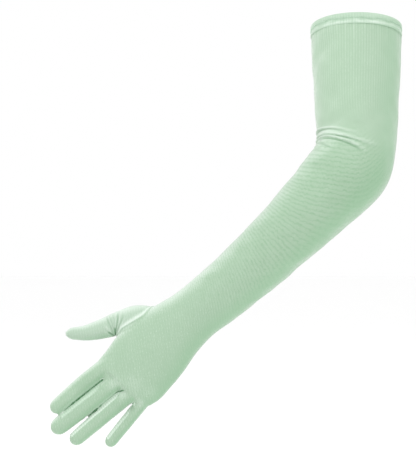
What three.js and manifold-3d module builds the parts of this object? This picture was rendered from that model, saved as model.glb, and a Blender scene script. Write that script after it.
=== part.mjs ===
// Long sheer stretch glove for a left hand, in the form it takes on a bent arm, open at the hem.
// Millimetres, +Z up. The back of the hand looks along -Y and the origin is the middle of the hem opening.
import * as THREE from 'three';
import { mergeVertices } from 'three/addons/utils/BufferGeometryUtils.js';
import Module from 'manifold-3d';

// Driving sizes
const cloth = 1.0; // wall of the knitted net
const seamGap = 0.3; // left between two pieces that are sewn together
const hemHeight = 11.4; // turned band round the top
const hemProud = 0.5; // how far the doubled band stands out past the sleeve
const hemCloth = 1.9; // wall of the doubled band
const sleeveSides = 26;
const fingerSides = 12;
const thumbSides = 16;
const fourchetteRoll = THREE.MathUtils.degToRad(-30); // the side strips are turned with the fingers
const fourchetteTwist = 12; // length over which a strip turns from the crotch to that roll
const fourchetteBase = 7; // width of a strip at the crotch
const fourchetteEnd = 4; // and near the fingertip
const fourchetteShort = 8; // a strip stops this far before the fingertip
const fourchetteBack = 3.6; // and starts this far behind the crotch
const stripProud = 0.4; // the cut for a strip reaches this far past the finger's surface
const turnAcross = 5; // the strip's turn round a crotch: across, along and how far it lies back
const turnLength = 5.4;
const turnBack = 1.2;
const slopeReach = 2; // rows this far before and after a place give the direction there
const palmEnd = 6; // reach of the palm's rounded end, inside the fingers
const innerLead = 3; // the hollow and the hem's passage start this far outside an end

// Rows down the arm to the knuckles. down: along the arm from the hem. x, y, z: middle of the row.
// lean: slope of the row's width in the front view. width and depth: across and front to back.
const sleeveRows = [
  { down: 0, x: 0, y: 0, z: 0, lean: 0, width: 88.6, depth: 80 },
  { down: 50, x: -0.6, y: -13.4, z: -47.8, lean: -0.7, width: 85.3, depth: 80 },
  { down: 101.3, x: -1.5, y: -28.6, z: -96.7, lean: -2.8, width: 78.9, depth: 77 },
  { down: 115.3, x: -1.6, y: -33.2, z: -109.9, lean: -7.9, width: 77.2, depth: 76 },
  { down: 131.8, x: -3.8, y: -40, z: -125.1, lean: -17.5, width: 76.8, depth: 74 },
  { down: 146.5, x: -8.9, y: -44.5, z: -138.4, lean: -26.3, width: 79, depth: 72 },
  { down: 163.1, x: -18.6, y: -44, z: -151.8, lean: -33.3, width: 77.9, depth: 70 },
  { down: 184.9, x: -33.7, y: -41.5, z: -167.4, lean: -39.6, width: 72.4, depth: 67 },
  { down: 231.4, x: -65.5, y: -31, z: -199.6, lean: -41.4, width: 65.5, depth: 61 },
  { down: 289.4, x: -105.8, y: -15, z: -238.1, lean: -43, width: 59.7, depth: 52 },
  { down: 338.7, x: -142.8, y: -6, z: -269.5, lean: -44.3, width: 56, depth: 43 },
  { down: 359.7, x: -159.4, y: -4, z: -282, lean: -46.1, width: 55, depth: 39 },
  { down: 378.2, x: -173.6, y: -3.7, z: -294, lean: -51.6, width: 59.9, depth: 37 },
  { down: 401.1, x: -190.2, y: -3.4, z: -309.7, lean: -51.8, width: 69.7, depth: 34 },
  { down: 427, x: -208.2, y: -3.1, z: -328.3, lean: -44.6, width: 72.5, depth: 30 },
  { down: 443.1, x: -218.4, y: -3, z: -340.8, lean: -42.2, width: 70.7, depth: 27 },
  { down: 455.9, x: -227.9, y: -3, z: -349.4, lean: -41.6, width: 67.2, depth: 23 },
];

// Stretches of the arm and how close together their rings are. The elbow's are close, for the folds
// raised on its outside; plain is their spacing on the inside.
const ringSpacing = [
  { from: 0, to: 97, step: 16 },
  { from: 97, to: 152, step: 3.1, plain: 9 },
  { from: 152, to: 360, step: 19 },
  { from: 360, to: 455.9, step: 9.5 },
];

// Folds of the cloth at the elbow. Each follows a line of places, from the inner side outwards, given
// by turns round the arm in degrees (180 is the inner side, 90 the front) and distances down it.
// height: at the crest. above and below: reach to either side of it; below is the sharper side.
const elbowFolds = [
  { turns: [192, 164, 123, 86], downs: [112.5, 117.5, 126, 127], height: 1.5, above: 2.4, below: 2.0 },
  { turns: [192, 146, 101, 58], downs: [121.5, 127.8, 133.3, 131], height: 1.9, above: 2.6, below: 2.2 },
  { turns: [194, 168, 121, 74], downs: [131, 132, 136.6, 140.5], height: 1.9, above: 2.4, below: 1.6 },
  { turns: [192, 166, 149, 124], downs: [135.8, 138.2, 141.4, 145], height: 1.1, above: 2.0, below: 1.8 },
  { turns: [200, 188, 165, 136], downs: [141, 142, 146, 147], height: 0.8, above: 2.0, below: 1.8 },
  { turns: [174, 212, 238, 266], downs: [116, 112, 112, 114], height: 1.6, above: 2.6, below: 2.2 },
  { turns: [174, 212, 236, 258], downs: [131, 125, 124, 126], height: 1.4, above: 2.4, below: 1.8 },
];
const foldStart = 0.12; // share of a fold's line over which it rises at the inner side
const foldEnd = 0.5; // and fades away at its other end

// Index, middle, ring and little finger, each from a root inside the palm to its tip. bow: sideways
// bend of the axis, towards the thumb. widths and depths: at the root, the middle and the end.
const fingerRows = [
  { root: [-227, -4, -318], tip: [-298.6, 3, -377.2], bow: 1,
    widths: [16.4, 17.2, 14.4], depths: [19, 16.5, 13] },
  { root: [-224.3, -4, -338.7], tip: [-298.1, 4, -397.1], bow: 0.5,
    widths: [18, 18.2, 16.4], depths: [19, 16.5, 13.5] },
  { root: [-216.9, -3, -354.8], tip: [-279.5, 4, -408.2], bow: 0.3,
    widths: [17, 16.2, 13.8], depths: [18, 15.5, 12.5] },
  { root: [-204, -1, -361.8], tip: [-244.2, 5, -411.1], bow: 0.3,
    widths: [13, 12.9, 11.8], depths: [16, 13, 11] },
];

// Crotches between two neighbouring fingers, with the reach of the web behind each.
const crotchRows = [
  { name: 'index_middle', fingers: [0, 1], at: [-248.3, -3, -345.7], reach: 15 },
  { name: 'middle_ring', fingers: [1, 2], at: [-227.1, -3, -354.9], reach: 9 },
  { name: 'ring_little', fingers: [2, 3], at: [-217.8, -2, -369], reach: 11 },
];
const webAcross = 5;
const webDepth = 6.5;

// Rows along the thumb from inside the palm to the tip.
const thumbRows = [
  { x: -186, y: -2, z: -287, width: 18, depth: 18 },
  { x: -202.1, y: 1, z: -286.2, width: 25, depth: 24 },
  { x: -215.8, y: 3, z: -287.3, width: 28.6, depth: 27 },
  { x: -225.6, y: 4.5, z: -289.8, width: 27, depth: 25.5 },
  { x: -235.4, y: 6, z: -291.9, width: 23.3, depth: 23 },
  { x: -245.2, y: 7, z: -295.1, width: 20.4, depth: 20.5 },
  { x: -255.4, y: 8, z: -298.1, width: 18.2, depth: 18 },
  { x: -265.8, y: 9, z: -300.4, width: 15.2, depth: 15 },
  { x: -275.6, y: 10, z: -300.9, width: 12.6, depth: 12.4 },
];
const thumbTip = 9.5; // reach of the rounded tip past the last row
const thumbStep = 5.6;
// Pleats across the thumb's root, by their distance from the root; they are deepest at the crotch.
const thumbPleats = [
  { down: 43.5, height: 1.0 },
  { down: 48.5, height: 1.1 },
  { down: 53.5, height: 0.9 },
];
const pleatHalfWidth = 1.9;

const wasm = await Module();
wasm.setup();

// Values of every column at any place along a table of rows
function alongRows(rows, places, columns) {
  const samples = rows.flatMap((row) => columns.map((column) => row[column]));
  const curve = new THREE.CubicInterpolant(places, samples, columns.length);
  return (place) => {
    const values = curve.evaluate(place);
    return Object.fromEntries(columns.map((column, i) => [column, values[i]]));
  };
}

const mix = (a, b, t) => a + (b - a) * t;
const smooth = (t) => THREE.MathUtils.smoothstep(t, 0, 1);

// Height of one fold at a distance from its crest, sharper on its lower side
function crest(offset, above, below) {
  const reach = offset < 0 ? above : below;
  return Math.exp(-((offset / reach) ** 2));
}

// How far along a fold's line a turn lies, from 0 to 1, and the line's distance down the arm there
function foldPlace(fold, degrees) {
  const [first, last] = [fold.turns[0], fold.turns.at(-1)];
  const shares = fold.turns.map((turn) => (turn - first) / (last - first));
  const share = (degrees - first) / (last - first);
  const line = new THREE.LinearInterpolant(shares, fold.downs, 1);
  return { share, down: line.evaluate(share)[0] };
}

function elbowFoldHeight(down, turn) {
  const degrees = THREE.MathUtils.euclideanModulo(THREE.MathUtils.radToDeg(turn), 360);
  let height = 0;
  for (const fold of elbowFolds) {
    const place = foldPlace(fold, degrees);
    if (place.share <= 0 || place.share >= 1) continue;
    const fade = Math.min(1, place.share / foldStart) * smooth((1 - place.share) / foldEnd);
    height += fold.height * fade * crest(down - place.down, fold.above, fold.below);
  }
  return height;
}

// One closed ring of points: an oval in the plane of across and front
function ovalRing(centre, across, front, width, depth, sides, lift = () => 0) {
  return Array.from({ length: sides }, (_, i) => {
    const turn = (2 * Math.PI * i) / sides;
    const point = across.clone().multiplyScalar((width / 2) * Math.cos(turn));
    point.addScaledVector(front, (depth / 2) * Math.sin(turn));
    return point.addScaledVector(point.clone().normalize(), lift(turn)).add(centre);
  });
}

// A closed skin through rings of points, with a flat fan over each end
function skin(rings) {
  const sides = rings[0].length;
  const middles = [rings[0], rings.at(-1)].map((ring) => {
    const sum = ring.reduce((total, point) => total.add(point), new THREE.Vector3());
    return sum.divideScalar(sides);
  });
  const points = [...rings.flat(), ...middles];
  const first = points.length - 2;
  const last = points.length - 1;
  const lastRing = (rings.length - 1) * sides;
  const faces = [];
  for (let i = 0; i < sides; i += 1) {
    const next = (i + 1) % sides;
    for (let row = 0; row < rings.length - 1; row += 1) {
      const a = row * sides;
      const b = a + sides;
      faces.push(a + i, a + next, b + i, a + next, b + next, b + i);
    }
    faces.push(first, next, i, last, lastRing + i, lastRing + next);
  }
  const geometry = new THREE.BufferGeometry();
  geometry.setAttribute('position', new THREE.Float32BufferAttribute(points.flatMap((p) => p.toArray()), 3));
  geometry.setIndex(faces);
  return geometry;
}

// Rings that round off an end in the direction of ahead
function roundedEnd(centre, across, front, ahead, width, depth, reach, sides) {
  const count = 3;
  return Array.from({ length: count }, (_, i) => {
    const turn = ((i + 1) / (count + 0.35)) * (Math.PI / 2);
    const middle = centre.clone().addScaledVector(ahead, reach * Math.sin(turn));
    return ovalRing(middle, across, front, width * Math.cos(turn), depth * Math.cos(turn), sides);
  });
}

function solidFrom(geometry) {
  const source = geometry.index ? geometry.toNonIndexed() : geometry.clone();
  source.deleteAttribute('normal');
  source.deleteAttribute('uv');
  const merged = mergeVertices(source, 1e-4);
  let indices = Uint32Array.from(merged.index.array);
  const positions = Float32Array.from(merged.attributes.position.array);
  if (signedVolume(positions, indices) < 0) indices = indices.reverse();
  return new wasm.Manifold(new wasm.Mesh({ numProp: 3, vertProperties: positions, triVerts: indices }));
}

function signedVolume(positions, indices) {
  const corner = (i) => new THREE.Vector3().fromArray(positions, 3 * i);
  let volume = 0;
  for (let i = 0; i < indices.length; i += 3) {
    volume += corner(indices[i]).dot(corner(indices[i + 1]).cross(corner(indices[i + 2])));
  }
  return volume / 6;
}

// Arm, wrist and palm, taken in by inset
const sleevePlaces = sleeveRows.map((row) => row.down);
const sleeveAt = alongRows(sleeveRows, sleevePlaces, ['x', 'y', 'z', 'lean', 'width', 'depth']);
const sleeveEnd = sleevePlaces.at(-1);

function sleeveFrame(down) {
  const row = sleeveAt(down);
  const before = sleeveAt(Math.max(0, down - slopeReach));
  const after = sleeveAt(Math.min(sleeveEnd, down + slopeReach));
  const centre = new THREE.Vector3(row.x, row.y, row.z);
  const ahead = new THREE.Vector3(after.x - before.x, after.y - before.y, after.z - before.z).normalize();
  const lean = THREE.MathUtils.degToRad(row.lean);
  const across = new THREE.Vector3(Math.cos(lean), 0, Math.sin(lean));
  const front = ahead.clone().cross(across).normalize();
  return { centre, ahead, across, front, width: row.width, depth: row.depth };
}

function sleeveRing(down, inset) {
  const { centre, across, front, width, depth } = sleeveFrame(down);
  const lift = (turn) => (inset > 0 ? 0 : elbowFoldHeight(down, turn));
  return ovalRing(centre, across, front, width - 2 * inset, depth - 2 * inset, sleeveSides, lift);
}

function sleeveStations(start, inset) {
  const stations = ringSpacing.flatMap(({ from, to, step, plain = step }) => {
    const count = Math.round((to - from) / (inset > 0 ? plain : step));
    return Array.from({ length: count }, (_, i) => mix(from, to, i / count));
  });
  return [start, ...stations.filter((down) => down > start + 2), sleeveEnd];
}

function sleeveBody(inset, start, early = 0) {
  const rings = sleeveStations(start, inset).map((down) => sleeveRing(down, inset));
  if (early > 0) {
    const { ahead } = sleeveFrame(start);
    rings.unshift(rings[0].map((point) => point.clone().addScaledVector(ahead, -early)));
  }
  const { centre, across, front, ahead, width, depth } = sleeveFrame(sleeveEnd);
  const [w, d] = [width - 2 * inset, depth - 2 * inset];
  rings.push(...roundedEnd(centre, across, front, ahead, w, d, palmEnd - inset, sleeveSides));
  return solidFrom(skin(rings));
}

// A finger's axis, frame and size at a fraction of its length
function fingerFrame(finger, t) {
  const root = new THREE.Vector3(...finger.root);
  const tip = new THREE.Vector3(...finger.tip);
  const ahead = tip.clone().sub(root).normalize();
  const across = new THREE.Vector3(-ahead.z, 0, ahead.x).normalize();
  const front = ahead.clone().cross(across).normalize();
  const centre = root.clone().lerp(tip, t).addScaledVector(across, -4 * finger.bow * t * (1 - t));
  return { centre, ahead, across, front, width: taper(finger.widths, t), depth: taper(finger.depths, t) };
}

// Three sizes, at the root, the middle and the end, joined smoothly
function taper([atRoot, atMiddle, atEnd], t) {
  return t < 0.5 ? mix(atRoot, atMiddle, smooth(2 * t)) : mix(atMiddle, atEnd, (2 * t - 1) ** 1.6);
}

function fingerLength(finger) {
  return new THREE.Vector3(...finger.root).distanceTo(new THREE.Vector3(...finger.tip));
}

function fingerBody(finger, inset) {
  const length = fingerLength(finger);
  const tipReach = finger.widths[2] * 0.62;
  const end = 1 - tipReach / length;
  const count = 4;
  const rings = [];
  for (let i = 0; i <= count; i += 1) {
    const { centre, across, front, width, depth } = fingerFrame(finger, (end * i) / count);
    rings.push(ovalRing(centre, across, front, width - 2 * inset, depth - 2 * inset, fingerSides));
  }
  const { centre, across, front, ahead, width, depth } = fingerFrame(finger, end);
  const [w, d] = [width - 2 * inset, depth - 2 * inset];
  rings.push(...roundedEnd(centre, across, front, ahead, w, d, tipReach - inset, fingerSides));
  return solidFrom(skin(rings));
}

function crotchFrame(crotch) {
  const [a, b] = crotch.fingers.map((index) => fingerFrame(fingerRows[index], 0.5));
  const ahead = a.ahead.clone().add(b.ahead).normalize();
  const across = new THREE.Vector3(-ahead.z, 0, ahead.x).normalize();
  return { ahead, across, front: ahead.clone().cross(across).normalize() };
}

// The web of cloth behind a crotch, an egg shape that joins two fingers
function webBody(crotch, inset) {
  const { across, front, ahead } = crotchFrame(crotch);
  const geometry = new THREE.SphereGeometry(1, 10, 6);
  geometry.scale(webAcross - inset, webDepth - inset, crotch.reach - inset);
  const centre = new THREE.Vector3(...crotch.at).addScaledVector(ahead, -crotch.reach);
  geometry.applyMatrix4(new THREE.Matrix4().makeBasis(across, front, ahead).setPosition(centre));
  return solidFrom(geometry);
}

// The space that a side strip is cut from: a wedge along one side of a finger, within a little of its
// surface. side: 0 is the side towards the little finger, 1 the side towards the thumb.
function stripSpace(finger, side, crotch, grow) {
  const length = fingerLength(finger);
  const { ahead } = fingerFrame(finger, 0);
  const atCrotch = new THREE.Vector3(...crotch.at).sub(new THREE.Vector3(...finger.root)).dot(ahead);
  const start = atCrotch - fourchetteBack;
  const end = length - fourchetteShort + grow;
  const count = 6;
  const rings = [];
  for (let i = 0; i <= count; i += 1) {
    const down = mix(start, end, i / count);
    const { centre, across, front, width } = fingerFrame(finger, down / length);
    const turn = side * Math.PI + fourchetteRoll * smooth((down - atCrotch) / fourchetteTwist);
    const outward = across.clone().multiplyScalar(Math.cos(turn)).addScaledVector(front, Math.sin(turn));
    const along = across.clone().multiplyScalar(-Math.sin(turn)).addScaledVector(front, Math.cos(turn));
    const half = mix(fourchetteBase, fourchetteEnd, (down - start) / (end - start)) / 2 + grow;
    const corners = [[0.2, -half], [0.7, -half], [0.7, half], [0.2, half]];
    rings.push(corners.map(([out, sideways]) => (
      centre.clone().addScaledVector(outward, out * width).addScaledVector(along, sideways))));
  }
  return solidFrom(skin(rings)).intersect(fingerBody(finger, -stripProud));
}

// The space of the strip's turn round a crotch, from one finger to the next
function turnSpace(crotch, grow) {
  const { across, front, ahead } = crotchFrame(crotch);
  const geometry = new THREE.BoxGeometry(turnAcross, fourchetteBase + 2 * grow, turnLength + 2 * grow);
  const centre = new THREE.Vector3(...crotch.at).addScaledVector(ahead, -turnBack);
  geometry.applyMatrix4(new THREE.Matrix4().makeBasis(across, front, ahead).setPosition(centre));
  return solidFrom(geometry);
}

function fourchetteSpace(crotch, grow) {
  const [before, after] = crotch.fingers.map((index) => fingerRows[index]);
  const strips = stripSpace(before, 0, crotch, grow).add(stripSpace(after, 1, crotch, grow));
  return strips.add(turnSpace(crotch, grow));
}

// The thumb, a tapering tube with pleats across its root
const thumbPlaces = thumbRows.reduce((places, row, i) => {
  const last = thumbRows[i - 1] ?? row;
  places.push((places.at(-1) ?? 0) + Math.hypot(row.x - last.x, row.y - last.y, row.z - last.z));
  return places;
}, []);
const thumbAt = alongRows(thumbRows, thumbPlaces, ['x', 'y', 'z', 'width', 'depth']);
const thumbEnd = thumbPlaces.at(-1);

function thumbFrame(down) {
  const row = thumbAt(down);
  const before = thumbAt(Math.max(0, down - slopeReach));
  const after = thumbAt(Math.min(thumbEnd, down + slopeReach));
  const ahead = new THREE.Vector3(after.x - before.x, after.y - before.y, after.z - before.z).normalize();
  const across = new THREE.Vector3(-ahead.z, 0, ahead.x).normalize();
  const front = ahead.clone().cross(across).normalize();
  const centre = new THREE.Vector3(row.x, row.y, row.z);
  return { centre, ahead, across, front, width: row.width, depth: row.depth };
}

function pleatHeight(down, turn) {
  const towardsCrotch = 0.35 + 0.65 * Math.max(0, Math.cos(turn));
  return thumbPleats.reduce((sum, pleat) => (
    sum + pleat.height * towardsCrotch * crest(down - pleat.down, pleatHalfWidth, pleatHalfWidth)), 0);
}

function thumbBody(inset) {
  const count = Math.round(thumbEnd / thumbStep);
  const rings = [];
  for (let i = 0; i <= count; i += 1) {
    const down = (thumbEnd * i) / count;
    const { centre, across, front, width, depth } = thumbFrame(down);
    const lift = (turn) => pleatHeight(down, turn);
    rings.push(ovalRing(centre, across, front, width - 2 * inset, depth - 2 * inset, thumbSides, lift));
  }
  const { centre, across, front, ahead, width, depth } = thumbFrame(thumbEnd);
  const [w, d] = [width - 2 * inset, depth - 2 * inset];
  rings.push(...roundedEnd(centre, across, front, ahead, w, d, thumbTip - inset, thumbSides));
  return solidFrom(skin(rings));
}

// The turned band round the top, a ring of doubled cloth
function hemBand() {
  const downs = [0, hemHeight];
  const outside = downs.map((down) => sleeveRing(down, -hemProud));
  const inside = downs.map((down) => sleeveRing(down, hemCloth - hemProud));
  const { ahead } = sleeveFrame(0);
  const shift = (ring, by) => ring.map((point) => point.clone().addScaledVector(ahead, by));
  const passage = [shift(inside[0], -innerLead), ...inside, shift(inside.at(-1), innerLead)];
  return solidFrom(skin(outside)).subtract(solidFrom(skin(passage)));
}

function gloveShell() {
  const start = hemHeight + seamGap;
  let outside = sleeveBody(0, start);
  let inside = sleeveBody(cloth, start, innerLead);
  for (const finger of fingerRows) {
    outside = outside.add(fingerBody(finger, 0));
    inside = inside.add(fingerBody(finger, cloth));
  }
  for (const crotch of crotchRows) {
    outside = outside.add(webBody(crotch, 0));
    inside = inside.add(webBody(crotch, cloth));
  }
  return outside.subtract(inside);
}

const glove = new THREE.Group();

function addPiece(name, solid, colour) {
  const { vertProperties, triVerts, numProp } = solid.getMesh();
  const positions = new Float32Array((vertProperties.length / numProp) * 3);
  for (let i = 0; i < positions.length / 3; i += 1) {
    for (let axis = 0; axis < 3; axis += 1) positions[3 * i + axis] = vertProperties[numProp * i + axis];
  }
  const geometry = new THREE.BufferGeometry();
  geometry.setAttribute('position', new THREE.BufferAttribute(positions, 3));
  geometry.setIndex(Array.from(triVerts));
  geometry.computeVertexNormals();
  const material = new THREE.MeshStandardMaterial({ color: colour, roughness: 0.85, metalness: 0 });
  const mesh = new THREE.Mesh(geometry, material);
  mesh.name = name;
  glove.add(mesh);
}

const shell = gloveShell();
const thumb = thumbBody(0).subtract(thumbBody(cloth)).subtract(sleeveBody(-seamGap, hemHeight));
let trank = shell.subtract(thumbBody(cloth));
for (const crotch of crotchRows) trank = trank.subtract(fourchetteSpace(crotch, seamGap));

addPiece('hem_band', hemBand(), '#c9e4cd');
addPiece('sleeve_and_hand', trank, '#b6d7ba');
addPiece('thumb_piece', thumb, '#c0dfc5');
for (const crotch of crotchRows) {
  addPiece(`fourchette_${crotch.name}`, shell.intersect(fourchetteSpace(crotch, 0)), '#cfe9d3');
}

export default glove;
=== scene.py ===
import math
from collections import namedtuple

import bmesh
import bpy
import numpy as np
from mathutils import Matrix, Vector, kdtree


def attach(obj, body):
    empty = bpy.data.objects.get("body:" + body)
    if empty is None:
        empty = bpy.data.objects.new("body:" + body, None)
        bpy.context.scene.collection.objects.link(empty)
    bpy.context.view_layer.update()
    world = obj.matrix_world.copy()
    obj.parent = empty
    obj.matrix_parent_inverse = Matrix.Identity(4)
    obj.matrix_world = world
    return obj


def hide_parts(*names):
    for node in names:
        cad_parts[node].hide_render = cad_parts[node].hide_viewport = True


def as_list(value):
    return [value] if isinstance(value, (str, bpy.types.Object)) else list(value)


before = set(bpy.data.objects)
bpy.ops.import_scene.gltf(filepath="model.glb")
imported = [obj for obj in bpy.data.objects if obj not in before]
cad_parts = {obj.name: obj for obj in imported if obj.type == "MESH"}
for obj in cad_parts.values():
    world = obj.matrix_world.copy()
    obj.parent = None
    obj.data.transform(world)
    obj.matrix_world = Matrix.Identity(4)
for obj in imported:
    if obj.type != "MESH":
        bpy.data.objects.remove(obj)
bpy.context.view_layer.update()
mm = 0.001  # every table below is in millimetres, and meshes are made in metres
fullTurn = 2 * math.pi
print("frame loaded:", sorted(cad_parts))


# Curves and rings


def alongRows(rows, places):
    # one smooth curve through a table of rows, sampled at many places at once
    rows, places = np.asarray(rows, float), np.asarray(places, float)
    last = len(places) - 1

    def at(place):
        place = np.clip(np.atleast_1d(np.asarray(place, float)), places[0], places[-1])
        after = np.clip(np.searchsorted(places, place, side="right"), 1, last)
        before = after - 1
        prior = np.where(before == 0, after, before - 1)
        following = np.where(after == last, before, np.minimum(after + 1, last))
        t0, t1 = places[before], places[after]
        wPrior = 0.5 * (t1 - t0) / (t0 - places[prior])
        wNext = 0.5 * (t1 - t0) / (places[following] - t1)
        p = (place - t0) / (t1 - t0)
        parts = (
            (-wPrior * p**3 + 2 * wPrior * p**2 - wPrior * p, prior),
            ((1 + wPrior) * p**3 - (1.5 + 2 * wPrior) * p**2 - (0.5 - wPrior) * p + 1, before),
            (-(1 + wNext) * p**3 + (1.5 + wNext) * p**2 + 0.5 * p, after),
            (wNext * p**3 - wNext * p**2, following),
        )
        return sum(weight[:, None] * rows[index] for weight, index in parts)

    return at


def unit(vectors):
    return vectors / np.maximum(np.linalg.norm(vectors, axis=-1, keepdims=True), 1e-12)


def smoothStep(low, high, value):
    t = np.clip((value - low) / (high - low), 0, 1)
    return t * t * (3 - 2 * t)


def bell(offset, reach):
    return np.exp(-((offset / reach) ** 2))


def ovalRings(frames, turns, lift=0.0):
    # points of ovals: one ring for each frame, one point for each turn, lifted outwards
    centre, across, front, width, depth = frames
    radial = (
        across[:, None] * (width[:, None] / 2 * np.cos(turns))[..., None]
        + front[:, None] * (depth[:, None] / 2 * np.sin(turns))[..., None]
    )
    return centre[:, None] + radial + unit(radial) * np.asarray(lift)[..., None]


def ovalPoints(frames, turn, lift=0.0):
    # one point of each frame's oval
    return ovalRings(frames, turn[:, None], np.broadcast_to(lift, turn.shape)[:, None])[:, 0]


def roundTurns(sides):
    return np.linspace(0, fullTurn, sides, endpoint=False)


def roundOff(frames, ahead, reach, count):
    # frames that round off an end, from the last of the given ones
    centre, across, front, width, depth = (part[-1:] for part in frames)
    turn = (np.arange(1, count + 1) / (count + 0.15) * math.pi / 2)[:, None]
    middles = centre + unit(ahead[-1:]) * reach * np.sin(turn)
    shrink = np.cos(turn[:, 0])
    grown = (middles, np.repeat(across, count, 0), np.repeat(front, count, 0), width * shrink, depth * shrink)
    return tuple(np.concatenate([a, b]) for a, b in zip(frames, grown))


def tubeFaces(rows, sides, offset=0, closedEnds=False):
    faces = []
    for row in range(rows - 1):
        a = offset + row * sides
        for i in range(sides):
            j = (i + 1) % sides
            faces.append((a + i, a + sides + i, a + sides + j, a + j))
    if closedEnds:
        faces.append(tuple(offset + i for i in range(sides)))
        faces.append(tuple(offset + (rows - 1) * sides + i for i in reversed(range(sides))))
    return faces


def addObject(name, data):
    made = bpy.data.objects.new(name, data)
    bpy.context.scene.collection.objects.link(made)
    return made


def meshObject(name, points, faces):
    mesh = bpy.data.meshes.new(name)
    mesh.from_pydata((np.asarray(points).reshape(-1, 3) * mm).tolist(), [], faces)
    mesh.update()
    mesh.shade_smooth()
    return addObject(name, mesh)


def turnOutwards(mesh):
    bm = bmesh.new()
    bm.from_mesh(mesh)
    bmesh.ops.recalc_face_normals(bm, faces=bm.faces)
    bm.to_mesh(mesh)
    bm.free()


def readAll(items, name, width=1, kind=float):
    # one property of all points, edges, corners or faces of a mesh
    values = np.empty(len(items) * width, kind)
    items.foreach_get(name, values)
    return values.reshape(-1, width) if width > 1 else values


def pointsOf(mesh):
    return readAll(mesh.vertices, "co", 3) / mm


def relax(edges, points, rounds, mask=1.0, push=0.52):
    # evens out a mesh: each point moves halfway towards its neighbours, and back again by push
    a, b = edges.T
    count = np.maximum(np.bincount(edges.ravel(), minlength=len(points)), 1)[:, None]
    weight = np.asarray(mask)[..., None]
    for step in (0.5, -push) * rounds:
        if step:
            total = np.zeros_like(points)
            np.add.at(total, a, points[b])
            np.add.at(total, b, points[a])
            points = points + weight * step * (total / count - points)
    return points


# The form of the sleeve and palm, the same rows as the solids have

# down the arm, x, y, z, lean of the width in the front view in degrees, width, depth
sleeveRows = [
    (0, 0, 0, 0, 0, 88.6, 80),
    (50, -0.6, -13.4, -47.8, -0.7, 85.3, 80),
    (101.3, -1.5, -28.6, -96.7, -2.8, 78.9, 77),
    (115.3, -1.6, -33.2, -109.9, -7.9, 77.2, 76),
    (131.8, -3.8, -40, -125.1, -17.5, 76.8, 74),
    (146.5, -8.9, -44.5, -138.4, -26.3, 79, 72),
    (163.1, -18.6, -44, -151.8, -33.3, 77.9, 70),
    (184.9, -33.7, -41.5, -167.4, -39.6, 72.4, 67),
    (231.4, -65.5, -31, -199.6, -41.4, 65.5, 61),
    (289.4, -105.8, -15, -238.1, -43, 59.7, 52),
    (338.7, -142.8, -6, -269.5, -44.3, 56, 43),
    (359.7, -159.4, -4, -282, -46.1, 55, 39),
    (378.2, -173.6, -3.7, -294, -51.6, 59.9, 37),
    (401.1, -190.2, -3.4, -309.7, -51.8, 69.7, 34),
    (427, -208.2, -3.1, -328.3, -44.6, 72.5, 30),
    (443.1, -218.4, -3, -340.8, -42.2, 70.7, 27),
    (455.9, -227.9, -3, -349.4, -41.6, 67.2, 23),
]
sleeveAt = alongRows([row[1:] for row in sleeveRows], [row[0] for row in sleeveRows])
sleeveEnd = sleeveRows[-1][0]
armAround = 264.0  # the cloth's width round the upper arm
slopeReach = 2.0  # how far to both sides of a place the way that a tube runs is taken


def alongTube(at, end, downs):
    # the rows at places down a tube, and the way that it runs on there
    downs = np.asarray(downs)
    before, after = at(np.maximum(0, downs - slopeReach)), at(np.minimum(end, downs + slopeReach))
    return at(downs), unit(after[:, :3] - before[:, :3])


def sleeveFrames(downs):
    rows, ahead = alongTube(sleeveAt, sleeveEnd, downs)
    lean = np.radians(rows[:, 3])
    across = np.stack([np.cos(lean), np.zeros_like(lean), np.sin(lean)], 1)
    return (rows[:, :3], across, unit(np.cross(ahead, across)), rows[:, 4], rows[:, 5]), ahead


def crossways(ahead):
    # two directions across the way ahead: level with the front view, and towards the front
    across = unit(np.stack([-ahead[..., 2], 0 * ahead[..., 0], ahead[..., 0]], -1))
    return across, unit(np.cross(ahead, across))


def dots(a, b):
    return np.einsum("pc,pc->p", a, b)


def inFrames(points, frames, best):
    # where points lie from the frames nearest to them: the way out, sideways, forwards, and the frames' sizes
    centre, across, front, width, depth = (part[best] for part in frames)
    out = points - centre
    return out, dots(out, across), dots(out, front), width, depth


armSearch = {"from": 300, "step": 1.0, "batch": 4000, "nearness": 0.02}


def armPlaces(points):
    # how far down the arm, at what turn round it and how far outside it each point lies
    downs = np.arange(armSearch["from"], sleeveEnd + 0.01, armSearch["step"])
    frames, ahead = sleeveFrames(downs)
    best = np.empty(len(points), int)
    for start in range(0, len(points), armSearch["batch"]):
        batch = slice(start, start + armSearch["batch"])
        out = points[batch, None] - frames[0]
        slip = np.abs(np.einsum("pfc,fc->pf", out, ahead))
        best[batch] = np.argmin(slip + armSearch["nearness"] * np.linalg.norm(out, axis=2), axis=1)
    out, side, face, width, depth = inFrames(points, frames, best)
    side, face = side / (width / 2), face / (depth / 2)
    down = downs[best] + dots(out, ahead[best])
    return down, np.arctan2(face, side), (np.hypot(face, side) - 1) * (width + depth) / 4


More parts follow.
